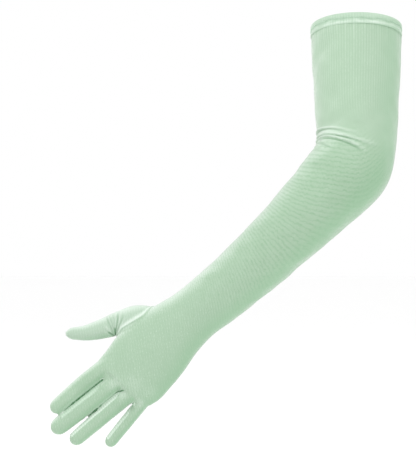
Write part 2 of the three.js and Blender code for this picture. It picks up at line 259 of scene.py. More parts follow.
# Lines of the folds where the arm bends. Each place on a line has a turn in degrees (180 is the inner side,
# 90 the front), how far down the arm it is, and the fold's strength there. Before each line: height of the
# ridge, its reach above and below, and how pale it looks
# the paleness given for each ridge is a painted highlight along it
elbowRidges = (
    (1.1, 1.5, 0.9, 0.4, ((86, 128.6, 0), (106, 128.4, 0.4), (123, 127.2, 0.75), (144, 123.4, 1), (164, 118, 1),
                          (176, 115, 0.8), (190, 113, 0.3))),
    (1.6, 2.4, 1.3, 0.5, ((58, 131.5, 0), (74, 133, 0.35), (101, 133.8, 0.6), (124, 132.3, 0.9), (146, 130, 1),
                          (170, 126.8, 0.9), (190, 123, 0.4))),
    (1.3, 1.6, 0.7, 0.5, ((74, 140.5, 0), (86, 139, 0.5), (98, 138, 0.9), (121, 136.6, 1), (141, 134.6, 1),
                          (168, 132, 1), (192, 131, 0.3))),
    (0.9, 1.2, 1.0, 0.3, ((124, 145, 0), (140, 142.6, 0.7), (149, 141.4, 1), (166, 138.2, 1), (190, 136, 0.3))),
    (0.7, 1.5, 1.3, 0.3, ((136, 147, 0), (153, 146.3, 0.7), (165, 146, 1), (188, 142, 0.6), (200, 141, 0))),
    (1.5, 2.2, 1.5, 0.6, ((176, 116, 0), (190, 114, 0.9), (212, 112, 1), (238, 112, 0.6), (266, 114, 0))),
    (1.4, 2.2, 1.3, 0.6, ((176, 131, 0), (190, 128, 0.9), (212, 125, 1), (236, 124, 0.6), (258, 126, 0))),
)
# before each line: depth of the crease, its reach, and how deep it looks
# the look given for each crease is painted shade in it
elbowCreases = (
    (0.8, 0.75, 0.5, ((112, 128.2, 0), (126, 127.7, 0.5), (136, 126.6, 0.45), (148, 124.6, 0.55),
                      (158, 122.4, 0.8), (169, 120.2, 1), (180, 119, 1), (196, 117, 0))),
    (0.7, 0.6, 0.6, ((88, 135, 0), (101, 134.8, 0.6), (111, 134.6, 1), (122, 134.1, 0.9), (131, 133.9, 0.3),
                     (150, 132.4, 0.15), (170, 130, 0))),
    (0.7, 0.55, 0.6, ((84, 141.5, 0), (92, 140.2, 0.6), (104, 139.2, 1), (121, 138.4, 1), (141, 137.5, 0.8),
                      (156, 136.6, 0.7), (172, 135, 0))),
    (0.5, 0.6, 0.3, ((126, 146, 0), (142, 144, 0.6), (156, 142.9, 0.8), (166, 141.2, 1), (186, 139, 0))),
    (0.8, 1.0, 0.4, ((178, 121, 0), (196, 118, 1), (220, 117, 0.8), (248, 118, 0))),
    (0.8, 1.0, 0.4, ((178, 136, 0), (196, 133, 1), (220, 130, 0.8), (246, 130, 0))),
)


def alongLine(line, at):
    # a line's second and third values at places along it, the third fading to nought at its ends
    places, shifts, strengths = zip(*line)
    return np.interp(at, places, shifts), np.interp(at, places, strengths, 0, 0)


def elbowFolds(down, turn):
    # height of the folds, with painted highlight on their ridges and painted shade in their creases
    degrees = np.degrees(turn) % 360
    height, pale, deep = (np.zeros(np.broadcast(down, turn).shape) for _ in range(3))
    for tall, above, below, paleness, line in elbowRidges:
        at, strength = alongLine(line, degrees)
        crest = strength * bell(down - at, np.where(down < at, above, below))
        height += tall * crest
        pale = np.maximum(pale, paleness * crest)
    for depth, reach, depthSeen, line in elbowCreases:
        at, strength = alongLine(line, degrees)
        dip = strength * bell(down - at, reach)
        height -= depth * dip
        deep = np.maximum(deep, depthSeen * dip)
    return height, pale * (1 - deep), deep


# Small unevenness of the stretched cloth, which ends before the wrist
clothWaves = {"seed": 7, "count": 26, "shortest": 16.0, "longest": 60.0, "height": 0.07, "end": 349,
              "fade": 40}


def clothUnevenness(around, down):
    rng = np.random.default_rng(clothWaves["seed"])
    total = 0.0
    for _ in range(clothWaves["count"]):
        length = rng.uniform(clothWaves["shortest"], clothWaves["longest"])
        rounds = max(1, round(armAround / length * rng.uniform(0.2, 1.0)))
        phase, slant = rng.uniform(0, fullTurn), rng.uniform(-1, 1)
        total = total + np.sin(rounds * fullTurn * around / armAround + slant * fullTurn * down / length + phase)
    return clothWaves["height"] * total


def uneven(turn, counts, seed):
    # an uneven wave round a ring, from -1 to 1
    rng = np.random.default_rng(seed)
    return sum(np.sin(k * turn + rng.uniform(0, 6.28)) for k in counts) / len(counts)


# Fingers: root and tip of the axis, its sideways bend, widths and depths at root, middle and end, and the
# swelling at the middle joint: share of the length, its reach, and how much wider
Finger = namedtuple("Finger", "root tip bow widths depths joint")
fingerRows = {
    "index": Finger((-227, -4, -318), (-298.6, 3, -377.2), 1,
                    (16.4, 17.2, 14.4), (19, 16.5, 13), (0.5, 0.08, 0.2)),
    "middle": Finger((-224.3, -4, -338.7), (-298.1, 4, -397.1), 0.25,
                     (18, 19, 16.4), (19, 16.5, 13.5), (0.5, 0.07, 0)),
    "ring": Finger((-216.9, -3, -354.8), (-279.5, 4, -408.2), 0.3,
                   (17, 16.2, 13.8), (18, 15.5, 12.5), (0.5, 0.07, 0)),
    "little": Finger((-204, -1, -361.8), (-244.2, 5, -411.1), 0.3,
                     (13, 12.9, 11.8), (16, 13, 11), (0.5, 0.08, 0.2)),
}
# how fast a finger narrows, and its rounded tip: share of the end's width, and count of rings
fingerEnd = {"taper": 1.6, "round": 0.62, "rings": 9}


def taper(sizes, t):
    early = sizes[0] + (sizes[1] - sizes[0]) * smoothStep(0, 1, 2 * t)
    late = sizes[1] + (sizes[2] - sizes[1]) * np.maximum(2 * t - 1, 0) ** fingerEnd["taper"]
    return np.where(t < 0.5, early, late)


def fingerAxis(finger):
    root, tip = np.array(finger.root, float), np.array(finger.tip, float)
    return root, unit(tip - root), float(np.linalg.norm(tip - root))


def fingerFrames(finger, t):
    t = np.atleast_1d(np.asarray(t, float))
    root, ahead, _ = fingerAxis(finger)
    across, front = crossways(ahead)
    centre = root + (finger.tip - root) * t[:, None] + across * (-4 * finger.bow * t * (1 - t))[:, None]
    jointAt, jointReach, wider = finger.joint
    width = taper(finger.widths, t) + wider * bell(t - jointAt, jointReach)
    each = np.ones((len(t), 1))
    return (centre, across * each, front * each, width, taper(finger.depths, t)), ahead * each


def fingerPoints(finger, sides=48, rows=22):
    reach = finger.widths[-1] * fingerEnd["round"]
    frames, ahead = fingerFrames(finger, np.linspace(0, 1 - reach / fingerAxis(finger)[2], rows))
    return ovalRings(roundOff(frames, ahead, reach, fingerEnd["rings"]), roundTurns(sides))


def fingerPlaces(finger, points):
    # distance along a finger, sideways and forwards from its axis, and its width and depth there
    root, ahead, length = fingerAxis(finger)
    down = (points - root) @ ahead
    frames, _ = fingerFrames(finger, np.clip(down / length, 0, 1))
    return down, *inFrames(points, frames, slice(None))[1:]


# Crotches between fingers: where each is, and the reach of the web behind it
Crotch = namedtuple("Crotch", "fingers at reach")
crotchRows = {
    "index_middle": Crotch(("index", "middle"), (-248.3, -3, -345.7), 15),
    "middle_ring": Crotch(("middle", "ring"), (-227.1, -3, -354.9), 9),
    "ring_little": Crotch(("ring", "little"), (-217.8, -2, -369), 11),
}
webSize = {"across": 5.0, "depth": 6.5}


def crotchFrame(crotch):
    ahead = unit(sum(fingerAxis(fingerRows[name])[1] for name in crotch.fingers))
    return np.array(crotch.at, float), ahead, *crossways(ahead)


def webPoints(crotch, sides=28, rows=15):
    at, ahead, across, front = crotchFrame(crotch)
    lat = np.linspace(-0.49 * math.pi, 0.49 * math.pi, rows)
    centre = at - ahead * crotch.reach + ahead * (crotch.reach * np.sin(lat))[:, None]
    size, each = np.cos(lat), np.ones((rows, 1))
    frames = (centre, across * each, front * each, 2 * webSize["across"] * size, 2 * webSize["depth"] * size)
    return ovalRings(frames, roundTurns(sides))


# The thumb: x, y, z, width, depth
thumbRows = [
    (-186, -2, -287, 18, 18),
    (-202.1, 1, -286.2, 25, 24),
    (-215.8, 3, -287.3, 28.6, 27),
    (-225.6, 4.5, -289.8, 27, 25.5),
    (-235.4, 6, -291.9, 23.3, 23),
    (-245.2, 7, -295.1, 20.4, 20.5),
    (-255.4, 8, -298.1, 18.2, 18),
    (-265.8, 9, -300.4, 15.2, 15),
    (-275.6, 10, -300.9, 12.6, 12.4),
]
thumbSteps = np.linalg.norm(np.diff(np.array(thumbRows)[:, :3], axis=0), axis=1)
thumbPlaces = np.concatenate([[0], np.cumsum(thumbSteps)])
thumbAt = alongRows(thumbRows, thumbPlaces)
thumbEnd = thumbPlaces[-1]
thumbWeb = np.array([-235.6, 5.0, -303.6])
# length of its rounded tip, and how far past its last row and how closely places on it are looked for
thumbForm = {"tip": 9.5, "past": 8, "step": 0.5}


def thumbFrames(downs):
    rows, ahead = alongTube(thumbAt, thumbEnd, downs)
    return (rows[:, :3], *crossways(ahead), rows[:, 3], rows[:, 4]), ahead


def thumbPlacesOf(points):
    # how far down the thumb, at what turn round it and how far outside it each point lies
    downs = np.arange(0, thumbEnd + thumbForm["past"], thumbForm["step"])
    frames, ahead = thumbFrames(np.minimum(downs, thumbEnd))
    centre = frames[0] + ahead * np.maximum(downs - thumbEnd, 0)[:, None]
    best = np.argmin(np.linalg.norm(points[:, None] - centre, axis=2), axis=1)
    out, side, face, width, depth = inFrames(points, (centre, *frames[1:]), best)
    return downs[best] + dots(out, ahead[best]), np.arctan2(face, side), np.hypot(side, face) - (width + depth) / 4


# One continuous skin for the hand, which is cut into its sewn pieces afterwards
handSkin = {"voxel": 1.1, "from": 330.0, "joint": 350.0, "relaxRounds": 12, "palmStep": 1.5, "palmSides": 120,
            "palmEnd": 6.0, "palmEndRings": 6, "thumbRings": 60, "thumbSides": 56}


def makeHandSkin():
    palm, palmAhead = sleeveFrames(np.arange(handSkin["from"], sleeveEnd, handSkin["palmStep"]))
    palm = roundOff(palm, palmAhead, handSkin["palmEnd"], handSkin["palmEndRings"])
    thumb, thumbAhead = thumbFrames(np.linspace(0, thumbEnd, handSkin["thumbRings"]))
    thumb = roundOff(thumb, thumbAhead, thumbForm["tip"], fingerEnd["rings"])
    tubes = [ovalRings(palm, roundTurns(handSkin["palmSides"]))]
    tubes += [fingerPoints(finger) for finger in fingerRows.values()]
    tubes += [webPoints(crotch) for crotch in crotchRows.values()]
    tubes.append(ovalRings(thumb, roundTurns(handSkin["thumbSides"])))
    points, faces = np.zeros((0, 3)), []
    for rings in tubes:
        faces += tubeFaces(*rings.shape[:2], len(points), closedEnds=True)
        points = np.concatenate([points, rings.reshape(-1, 3)])
    rough = meshObject("rough_hand", points, faces)
    remesh = rough.modifiers.new("remesh", "REMESH")
    remesh.mode = "VOXEL"
    remesh.voxel_size = handSkin["voxel"] * mm
    skin = bpy.data.meshes.new_from_object(rough.evaluated_get(bpy.context.evaluated_depsgraph_get()))
    bpy.data.objects.remove(rough)
    return relaxHand(skin)


# where the skin is evened out more: between two places down the thumb, near the palm's oval and the thumb's
# own, and round a place behind each crotch
evenMore = {"root": (12, 62), "rootReach": 2.6, "rootProud": 4, "crotchBack": 4, "crotchReach": 11, "rounds": 14,
            "afterwards": 3}


def relaxHand(skin):
    # evens out the steps of the remeshed skin, and more of it at the crotches and round the thumb's root
    edges = readAll(skin.edges, "vertices", 2, np.int64)
    points = relax(edges, pointsOf(skin), handSkin["relaxRounds"])
    down, _, proud = thumbPlacesOf(points)
    near = bell(armPlaces(points)[2], evenMore["rootReach"]) * (np.abs(proud) < evenMore["rootProud"])
    near = near * (down > evenMore["root"][0]) * (down < evenMore["root"][1])
    for crotch in crotchRows.values():
        at, ahead, _, _ = crotchFrame(crotch)
        away = np.linalg.norm(points - at + evenMore["crotchBack"] * ahead, axis=1)
        near = np.maximum(near, bell(away, evenMore["crotchReach"]))
    points = relax(edges, relax(edges, points, evenMore["rounds"], near, 0.0), evenMore["afterwards"])
    skin.vertices.foreach_set("co", (points * mm).ravel())
    skin.update()
    return skin


# Where the skin is cut into sewn pieces. Values of the side functions are above nought on the piece.
stripCut = {"twist": 12.0, "firstTwist": 0.35, "back": 3.6, "inner": 0.2, "outer": 0.75, "turnAcross": 5.0,
            "turnLength": 5.4, "turnBack": 1.2}
# on each crotch's first finger and on its second: how far the strip turns to the front in degrees, its width
# at the crotch and at the end, and how far it ends before the fingertip
firstStrip = (30.0, 7.0, 4.0, 8.0)
secondStrips = {
    "index_middle": (36, 8.2, 5.6, 17),
    "middle_ring": (34, 6.8, 4.4, 5),
    "ring_little": (38, 6.0, 4.6, 6),
}
thumbCut = {"proud": 0.9, "reach": 4.5, "from": 10}
# seen from the front the thumb's seam is straight from the wrist to a turn, x and z, and from there to the web
thumbSeam = {"turn": (-229.4, -294.7), "wrist": (-0.522, 0.853), "web": (-0.845, 0.535),
             "backFrom": 3.0, "backRate": 2.5}


def thumbSide(points):
    down, _, tubeProud = thumbPlacesOf(points)
    proud = armPlaces(points)[2] - thumbCut["proud"]
    fromTurn = points[:, (0, 2)] - np.array(thumbSeam["turn"])
    straight = np.maximum(fromTurn @ np.array(thumbSeam["wrist"]), fromTurn @ np.array(thumbSeam["web"]))
    straight = straight + thumbSeam["backRate"] * np.maximum(points[:, 1] - thumbSeam["backFrom"], 0)
    # past the web the whole finger belongs to the thumb piece
    return np.min([proud, straight, thumbCut["reach"] - np.abs(tubeProud), down - thumbCut["from"]], axis=0)


def stripSide(points, crotch, strip, place):
    # the strip along the crotch's first or second finger
    roll, base, endWidth, short = strip
    finger = fingerRows[crotch.fingers[place]]
    root, ahead, length = fingerAxis(finger)
    atCrotch = float((crotch.at - root) @ ahead)
    start, end = atCrotch - stripCut["back"], length - short
    down, side, face, width, _ = fingerPlaces(finger, points)
    twist = stripCut["twist"] * (1 if place else stripCut["firstTwist"])
    turn = place * math.pi - math.radians(roll) * smoothStep(0, 1, (down - atCrotch) / twist)
    out = side * np.cos(turn) + face * np.sin(turn)
    sideways = face * np.cos(turn) - side * np.sin(turn)
    half = (base + (endWidth - base) * np.clip((down - start) / (end - start), 0, 1)) / 2
    # each side of the strip stays on its own finger
    prouds = fingerProuds(points)
    nearer = (prouds[crotch.fingers[1 - place]] - prouds[crotch.fingers[place]]) / 2
    inside = (half - np.abs(sideways), out - stripCut["inner"] * width, stripCut["outer"] * width - out)
    return np.min([*inside, nearer, down - start, end - down], axis=0)


def turnSide(points, crotch):
    # the short piece of a strip that turns round the crotch
    at, ahead, across, front = crotchFrame(crotch)
    out = points - (at - ahead * stripCut["turnBack"])
    sizes = ((stripCut["turnAcross"], across), (firstStrip[1], front), (stripCut["turnLength"], ahead))
    return np.min([size / 2 - np.abs(out @ way) for size, way in sizes], axis=0)


def fourchetteSide(points, key):
    crotch, pair = crotchRows[key], (firstStrip, secondStrips[key])
    strips = [stripSide(points, crotch, strip, place) for place, strip in enumerate(pair)]
    return np.max([*strips, turnSide(points, crotch)], axis=0)


def cutAlong(bm, values):
    # splits the faces along the line where values are nought, and returns the values of all points
    bm.verts.index_update()
    values = [0.0 if abs(value) < 0.02 else float(value) for value in values]
    for edge in list(bm.edges):
        a, b = edge.verts
        va, vb = values[a.index], values[b.index]
        if va * vb < 0:
            _, made = bmesh.utils.edge_split(edge, a, va / (va - vb))
            made.index = len(values)
            values.append(0.0)
    for face in list(bm.faces):
        onLine = [v for v in face.verts if values[v.index] == 0.0]
        signs = [values[v.index] for v in face.verts]
        if len(onLine) == 2 and min(signs) < 0 < max(signs):
            a, b = onLine
            if not any(b in edge.verts for edge in a.link_edges if edge in face.edges):
                bmesh.utils.face_split(face, a, b)
    bm.verts.ensure_lookup_table()
    return np.array(values)


def bmPoints(bm):
    return np.array([v.co for v in bm.verts]) / mm


def bmEdges(bm):
    bm.verts.index_update()
    return np.array([[v.index for v in edge.verts] for edge in bm.edges])


def movePoints(bm, points):
    for vertex, point in zip(bm.verts, points):
        vertex.co = point * mm


# near its tip a finger is narrower than its oval: from where, in widths of its end, how far on it is
# narrowest, over what reach and by what share, and how much of the distance past it counts
tipFit = {"from": 0.6, "at": 9, "reach": 6, "share": 0.4, "pastCounts": 0.3}


def fingerProuds(points):
    # how far each point lies outside each finger
    prouds = {}
    for name, finger in fingerRows.items():
        down, side, face, width, depth = fingerPlaces(finger, points)
        away, angle = np.hypot(side, face), np.arctan2(face / depth, side / width)
        radius = 0.5 * np.hypot(width * np.cos(angle), depth * np.sin(angle))
        past = np.maximum(0, down - fingerAxis(finger)[2] + tipFit["from"] * finger.widths[-1])
        rounded = radius * (1 - bell(past - tipFit["at"], tipFit["reach"]) * tipFit["share"])
        prouds[name] = np.hypot(away - rounded, past * tipFit["pastCounts"]) * np.sign(away - radius)
    return prouds


def pastCrotch(points, crotch):
    # how far past the crotch each point lies, the way that its fingers run
    at, ahead, _, _ = crotchFrame(crotch)
    return (points - at) @ ahead


def gapsOf(points):
    # each crotch, and how far the points lie outside its first and its second finger
    prouds = fingerProuds(points)
    for key, crotch in crotchRows.items():
        yield key, crotch, *(prouds[name] for name in crotch.fingers)


def nearGap(points, reach):
    # which points lie in the narrow gap between two fingers
    near = np.zeros(len(points), bool)
    for _, crotch, first, second in gapsOf(points):
        between = (np.abs(first - second) / 2 < reach) & (np.maximum(first, second) < 1.6 * reach)
        near |= between & (pastCrotch(points, crotch) > -3.5)
    return near


# The thin dark lines where two fingers touch, painted shade in the gap between them: distance past the crotch,
# shift across, darkness
gapLines = {
    "index_middle": ((-2, 0, 0), (0, 0, 1.05), (3, 0, 0.82), (12, 0, 0.64), (20, 0, 0.68), (26, 0, 0.78),
                     (30, 0, 1), (32, 0, 0.95), (34, 0, 0.6), (37, 0, 1.15), (39.5, 0, 0.6), (48, 0, 0.4),
                     (52, 0, 0)),
    "middle_ring": ((-2.5, 1.9, 0), (-0.5, 1.9, 0.5), (2, 1.2, 0.75), (8, -0.7, 0.6), (11, -0.8, 0), (25, -0.4, 0),
                    (28, -0.3, 0.75), (31, -0.2, 0.2), (34, -0.2, 1.2), (37, -0.1, 1.2), (40, 0, 0.4), (42, 0, 0.6),
                    (44, 0, 0)),
    "ring_little": ((-2.5, 0, 0), (-0.5, 0, 0.55), (3, 0, 0.5), (6, 0, 0)),
}
# where a line fades to both sides and where the fingers part; how the cloth beside it comes in after the crotch
# and goes out at the line's end; depth and width of the groove; how the cloth beside it is filled up
gapForm = {"fade": (2.7, 4.5), "parting": (3, 6), "comesIn": (0, 6), "goesOut": (4, -6), "depth": 0.4,
           "width": 0.6, "fillRounds": 16, "fillReach": 3.2}
# how far down onto both fingers the skin is laid, at distances past the crotch
gapSharpness = {
    "index_middle": ((2, 0), (8, 0.3)),
    "middle_ring": ((2, 0), (8, 0.3), (12, 0.2), (26, 0.2), (38, 0.4), (46, 1)),
    "ring_little": ((2, 0), (8, 1)),
}


# at each step the skin moves by a share of its distance, within limits; the tip is left between two places
gapSteps = {"rounds": 4, "share": 0.8, "limits": (-0.5, 2.5), "reach": 2.6, "tip": (-15, -8)}


def sharpenGaps(points, normals):
    # lays the skin between two touching fingers down onto both of them, but not at their rounded tips
    for _ in range(gapSteps["rounds"]):
        for key, crotch, first, second in gapsOf(points):
            finger = fingerRows[crotch.fingers[0]]
            onTip = smoothStep(*gapSteps["tip"], fingerPlaces(finger, points)[0] - fingerAxis(finger)[2])
            near = np.interp(pastCrotch(points, crotch), *zip(*gapSharpness[key])) * (1 - onTip)
            between = bell((first - second) / 2, gapSteps["reach"])
            drop = np.clip(np.minimum(first, second), *gapSteps["limits"]) * (near * between)
            points = points - normals * (gapSteps["share"] * drop)[:, None]
    return points


def gapPlaces(points):
    # distance across from the nearest dark line between fingers, its darkness as painted shade, and whether the
    # point is beside one
    nearest, dark, beside = np.full(len(points), 99.0), np.zeros(len(points)), np.zeros(len(points))
    for key, crotch, first, second in gapsOf(points):
        along, end = pastCrotch(points, crotch), gapLines[key][-1][0]
        shift, strength = alongLine(gapLines[key], along)
        away = (first - second) / 2 - shift
        near = np.abs(away) < np.abs(nearest)
        together = 1 - smoothStep(*gapForm["parting"], np.maximum(first, second))
        share = (1 - smoothStep(*gapForm["fade"], np.abs(away))) * together
        fade = together * smoothStep(*gapForm["comesIn"], along) * smoothStep(*gapForm["goesOut"], along - end)
        nearest = np.where(near, away, nearest)
        dark = np.where(near, share * strength, dark)
        beside = np.where(near, fade, beside)
    return nearest, dark, beside


def splitSkin(skin):
    # cuts the hand's skin along clean lines, and numbers its faces by piece
    bm = bmesh.new()
    bm.from_mesh(skin)
    layer = bm.faces.layers.int.new("piece")
    frames, ahead = sleeveFrames([handSkin["joint"]])
    values = cutAlong(bm, (bmPoints(bm) - frames[0][0]) @ ahead[0])
    bmesh.ops.delete(bm, geom=[v for v in bm.verts if values[v.index] < 0], context="VERTS")
    tests = [thumbSide] + [lambda points, key=key: fourchetteSide(points, key) for key in crotchRows]
    for test in tests:
        cutAlong(bm, test(bmPoints(bm)))
    centres = np.array([face.calc_center_median() for face in bm.faces]) / mm
    for number, test in enumerate(tests, 1):
        for face, value in zip(bm.faces, test(centres)):
            if value > 0:
                face[layer] = number
    refineSkin(bm)
    bm.faces.index_update()
    return bm, np.array([face[layer] for face in bm.faces])


# reach of the closer points, and of the wider part that is evened out afterwards
closer = {"gap": (2.5, 2.8), "web": (28, 29)}


def refineSkin(bm):
    # closer points in the gaps between fingers and round the thumb's web
    def near(wider):
        points = bmPoints(bm)
        bm.verts.index_update()
        inWeb = np.linalg.norm(points - thumbWeb, axis=1) < closer["web"][wider]
        return nearGap(points, closer["gap"][wider]) | inWeb

    close = near(0)
    edges = [edge for edge in bm.edges if all(close[v.index] for v in edge.verts)]
    bmesh.ops.subdivide_edges(bm, edges=edges, cuts=1, use_grid_fill=True)
    movePoints(bm, relax(bmEdges(bm), bmPoints(bm), 2, near(1).astype(float)))


print("cutting the hand's skin")
clothNames = ["trank", "thumb_cloth"] + ["strip_" + key for key in crotchRows]
handBm, facePiece = splitSkin(makeHandSkin())
print("skin faces:", dict(zip(clothNames, np.bincount(facePiece).tolist())))


# The form of the hand's details. A sewn seam is a low ridge with a groove on each side.

seamForm = {"ridge": 0.42, "ridgeReach": 0.75, "groove": 0.06, "grooveAt": 1.7, "grooveReach": 0.9,
            "onStrips": 0.45, "pale": 0.5}
# pleats and creases that fan out from the thumb's web: degrees from straight up, height, inner and outer reach
thumbPleats = ((-66, 0.4, 5, 15), (-45, 0.5, 5, 19), (-20, 0.5, 6, 26), (-10, 0.5, 6, 27), (1, 0.55, 8, 28),
               (13, 0.55, 6, 28), (27, 0.5, 5, 24))
thumbCreases = ((-58, 0.9, 2.5, 10), (-4, 1.2, 0, 11), (7, 0.55, 3, 27), (20, 0.35, 5, 26), (-26, 0.4, 6, 25),
                (-15, 0.35, 5, 24), (-6, 0.25, 10, 27))
# creases at the finger joints, in pairs: share of the finger's length, depth
fingerCreases = ((0.44, 0.16), (0.72, 0.12))
creasePair = {"reach": 0.02, "apart": 0.05, "second": 0.6, "secondReach": 0.018}
knuckleArcs = ((405, 0.1), (412, 0.08), (419, 0.12), (427, 0.1), (436, 0.06))  # down the arm, height
# lighter patches over the knuckles: x, z, reach, how pale
knucklePatches = ((-229.5, -358.9, 4.5, 0.4), (-236.4, -349.1, 8, 0.2), (-216.8, -349.1, 9, 0.15),
                  (-211.9, -368.7, 5, 0.25), (-203, -357, 8, 0.12))
# and darker ones on the backs of the fingers
fingerShades = ((-264, -349, 12, 0.1), (-232, -372, 9, 0.05), (-208, -396, 9, 0.08), (-247, -383, 12, 0.03))


def seamEdges(number):
    # pairs of points along the line between one piece and the others
    pairs = []
    for edge in handBm.edges:
        on = [facePiece[face.index] == number for face in edge.link_faces]
        if len(on) == 2 and on[0] != on[1]:
            pairs.append([v.index for v in edge.verts])
    return pairs


def seamDistance(points, number):
    onSeam = sorted({index for pair in seamEdges(number) for index in pair})
    tree = kdtree.KDTree(len(onSeam))
    handBm.verts.ensure_lookup_table()
    for index in onSeam:
        tree.insert(handBm.verts[index].co / mm, index)
    tree.balance()
    return np.array([tree.find(Vector(point))[2] for point in points])


def fanLines(points, lines, reach):
    # lines that fan out from the thumb's web, seen from the front or the back
    out = points - thumbWeb
    distance, angle = np.hypot(out[:, 0], out[:, 2]), np.arctan2(out[:, 0], out[:, 2])
    total = np.zeros(len(points))
    for degrees, height, near, far in lines:
        fade = smoothStep(0, near + 0.01, distance) * (1 - smoothStep(0.6 * far, far, distance))
        line = bell(distance * (angle - math.radians(degrees)), reach + 0.03 * distance)
        total = np.maximum(total, height * fade * line)
    return total


def fingerDetail(points):
    # slight creases at the joints of each finger
    best = np.zeros(len(points))
    for finger in fingerRows.values():
        down, side, face, width, _ = fingerPlaces(finger, points)
        share = down / fingerAxis(finger)[2]
        dip = 0.0
        for at, depth in fingerCreases:
            second = creasePair["second"] * bell(share - at - creasePair["apart"], creasePair["secondReach"])
            dip = dip + depth * (bell(share - at, creasePair["reach"]) + second)
        best = np.where((np.hypot(side, face) < 0.62 * width) & (share > 0.3), -dip, best)
    return best


def knuckleDetail(points):
    down, turn, proud = armPlaces(points)
    arcs = sum(height * bell(down + 5 * np.cos(turn) - at, 2.2) for at, height in knuckleArcs)
    return arcs * np.clip(np.sin(turn), 0, 1) * (np.abs(proud) < 2)


def backPatches(points, normals, patches):
    # round patches that fade out, on the back of the hand alone
    onBack = smoothStep(0, 0.5, -normals[:, 1])
    spots = [amount * bell(np.hypot(points[:, 0] - x, points[:, 2] - z), reach) for x, z, reach, amount in patches]
    return np.max(spots, axis=0) * onBack


def handNormals():
    handBm.normal_update()
    return np.array([v.normal for v in handBm.verts])


# a pale band on the thumb along its seam, where its cloth is stretched, partly painted highlight, and painted
# highlight on the palm
# beside the seam: how much, how far away and with what reach, on the thumb and on the palm, and where along x each
# comes in and goes out
seamPale = {"thumb": (0.7, 1.3, 2.0), "palm": (0.3, 2.0, 2.4), "thumbIn": (-240, -230), "palmIn": (-238, -232),
            "palmOut": (-224, -208), "turnedUp": (-0.2, 0.4), "lessTurnedUp": 0.7}


def besideThumbSeam(points, normals, onThumb, away):
    x, y = points[:, 0], normals[:, 1]
    (onIt, itsShift, itsReach), (below, shift, reach) = seamPale["thumb"], seamPale["palm"]
    thumbBand = onThumb * bell(away - itsShift, itsReach) * smoothStep(*seamPale["thumbIn"], x)
    thumbBand = thumbBand * (1 - seamPale["lessTurnedUp"] * smoothStep(*seamPale["turnedUp"], y))
    low = smoothStep(*seamPale["palmIn"], x) * (1 - smoothStep(*seamPale["palmOut"], x)) * (y < 0)
    return np.maximum(onIt * thumbBand, below * low * (1 - onThumb) * bell(away - shift, reach))


# reach of pleats, creases and the pocket at the web, and the painted highlight on pleats and painted shade in
# creases and the pocket
fanForm = {"pleat": 0.8, "crease": 0.55, "pocket": 3.0, "palePleat": 0.5, "deepCrease": 0.75, "deepPocket": 0.4}
# painted highlight on both sides of the line between two fingers, against the shade there: how much, how far away,
# and its reach
gapPale = ((0.6, -1.7, 2.2), (0.25, 1.5, 2.0))


def shapeHand():
    # raises seams, pleats and creases along the skin's own normals
    points = sharpenGaps(bmPoints(handBm), handNormals())
    # the stretched cloth lies shallow beside the lines where two fingers touch
    gapAway, _, beside = gapPlaces(points)
    shallow = beside * bell(gapAway, gapForm["fillReach"])
    points = relax(bmEdges(handBm), points, gapForm["fillRounds"], shallow, 0.0)
    movePoints(handBm, points)
    normals = handNormals()
    onThumb = np.zeros(len(points))
    onThumb[[v.index for face in handBm.faces if facePiece[face.index] == 1 for v in face.verts]] = 1.0
    pleats = fanLines(points, thumbPleats, fanForm["pleat"]) * onThumb
    creases = fanLines(points, thumbCreases, fanForm["crease"]) * onThumb
    fromWeb = points - thumbWeb
    pocket = bell(np.hypot(fromWeb[:, 0], fromWeb[:, 2]), fanForm["pocket"]) * onThumb
    gapAway, gapDark, beside = gapPlaces(points)
    height = fingerDetail(points) + knuckleDetail(points) + pleats - creases
    height = height - gapForm["depth"] * gapDark * bell(gapAway, gapForm["width"])
    # painted highlight beside the lines where two fingers touch, lightening the shade in the gap
    paintedGapHighlight = beside * np.max([amount * bell(gapAway - shift, reach) for amount, shift, reach in gapPale], axis=0)
    # pale: painted highlights on pleats and beside gaps, and lighter patches over the knuckles; deep: painted shade
    # in creases, in the web's pocket and on the backs of the fingers
    pale = np.max([fanForm["palePleat"] * pleats, paintedGapHighlight, backPatches(points, normals, knucklePatches)], axis=0)
    deep = np.maximum(fanForm["deepCrease"] * creases, fanForm["deepPocket"] * pocket)
    deep = deep + backPatches(points, normals, fingerShades)
    seamAway = np.full(len(points), 99.0)
    for number in range(1, len(clothNames)):
        away = seamDistance(points, number)
        tall = 1.0 if number == 1 else seamForm["onStrips"]
        ridge = bell(away, seamForm["ridgeReach"])
        groove = seamForm["groove"] * bell(away - seamForm["grooveAt"], seamForm["grooveReach"])
        height = height + tall * seamForm["ridge"] * ridge - groove
        pale = np.maximum(pale, seamForm["pale"] * tall * ridge)
        if number == 1:
            pale = np.maximum(pale, besideThumbSeam(points, normals, onThumb, away))
        seamAway = np.minimum(seamAway, away)
    # near the wrist the skin runs exactly onto the sleeve's oval
    down, turn, _ = armPlaces(points)
    share = (1 - smoothStep(handSkin["joint"] + 1, handSkin["joint"] + 9, down))[:, None]
    points = points + share * (ovalPoints(sleeveFrames(down)[0], turn) - points)
    looks = np.stack([pale * (1 - deep), deep, seamAway, gapAway, gapDark], 1)
    return points + normals * (height[:, None] * (1 - share)), looks


handPoints, handLooks = shapeHand()
print("hand shaped:", len(handPoints), "points")


# The sleeve from the hem to the wrist, in close rings at the elbow

sleeveSides = 176
# its rings: from, to and spacing
sleeveSteps = ((10.2, 98, 2.2), (98, 152, 0.72), (152, 190, 1.8), (190, 349.4, 2.4))
# fine upright puckers under the hem, with painted highlight on their ridges and painted shade between them
gatherRibs = {"counts": (71, 97, 118, 143), "seed": 11, "height": 0.16, "from": 11, "reach": 16.0,
              "pale": 0.12, "deep": 0.05}


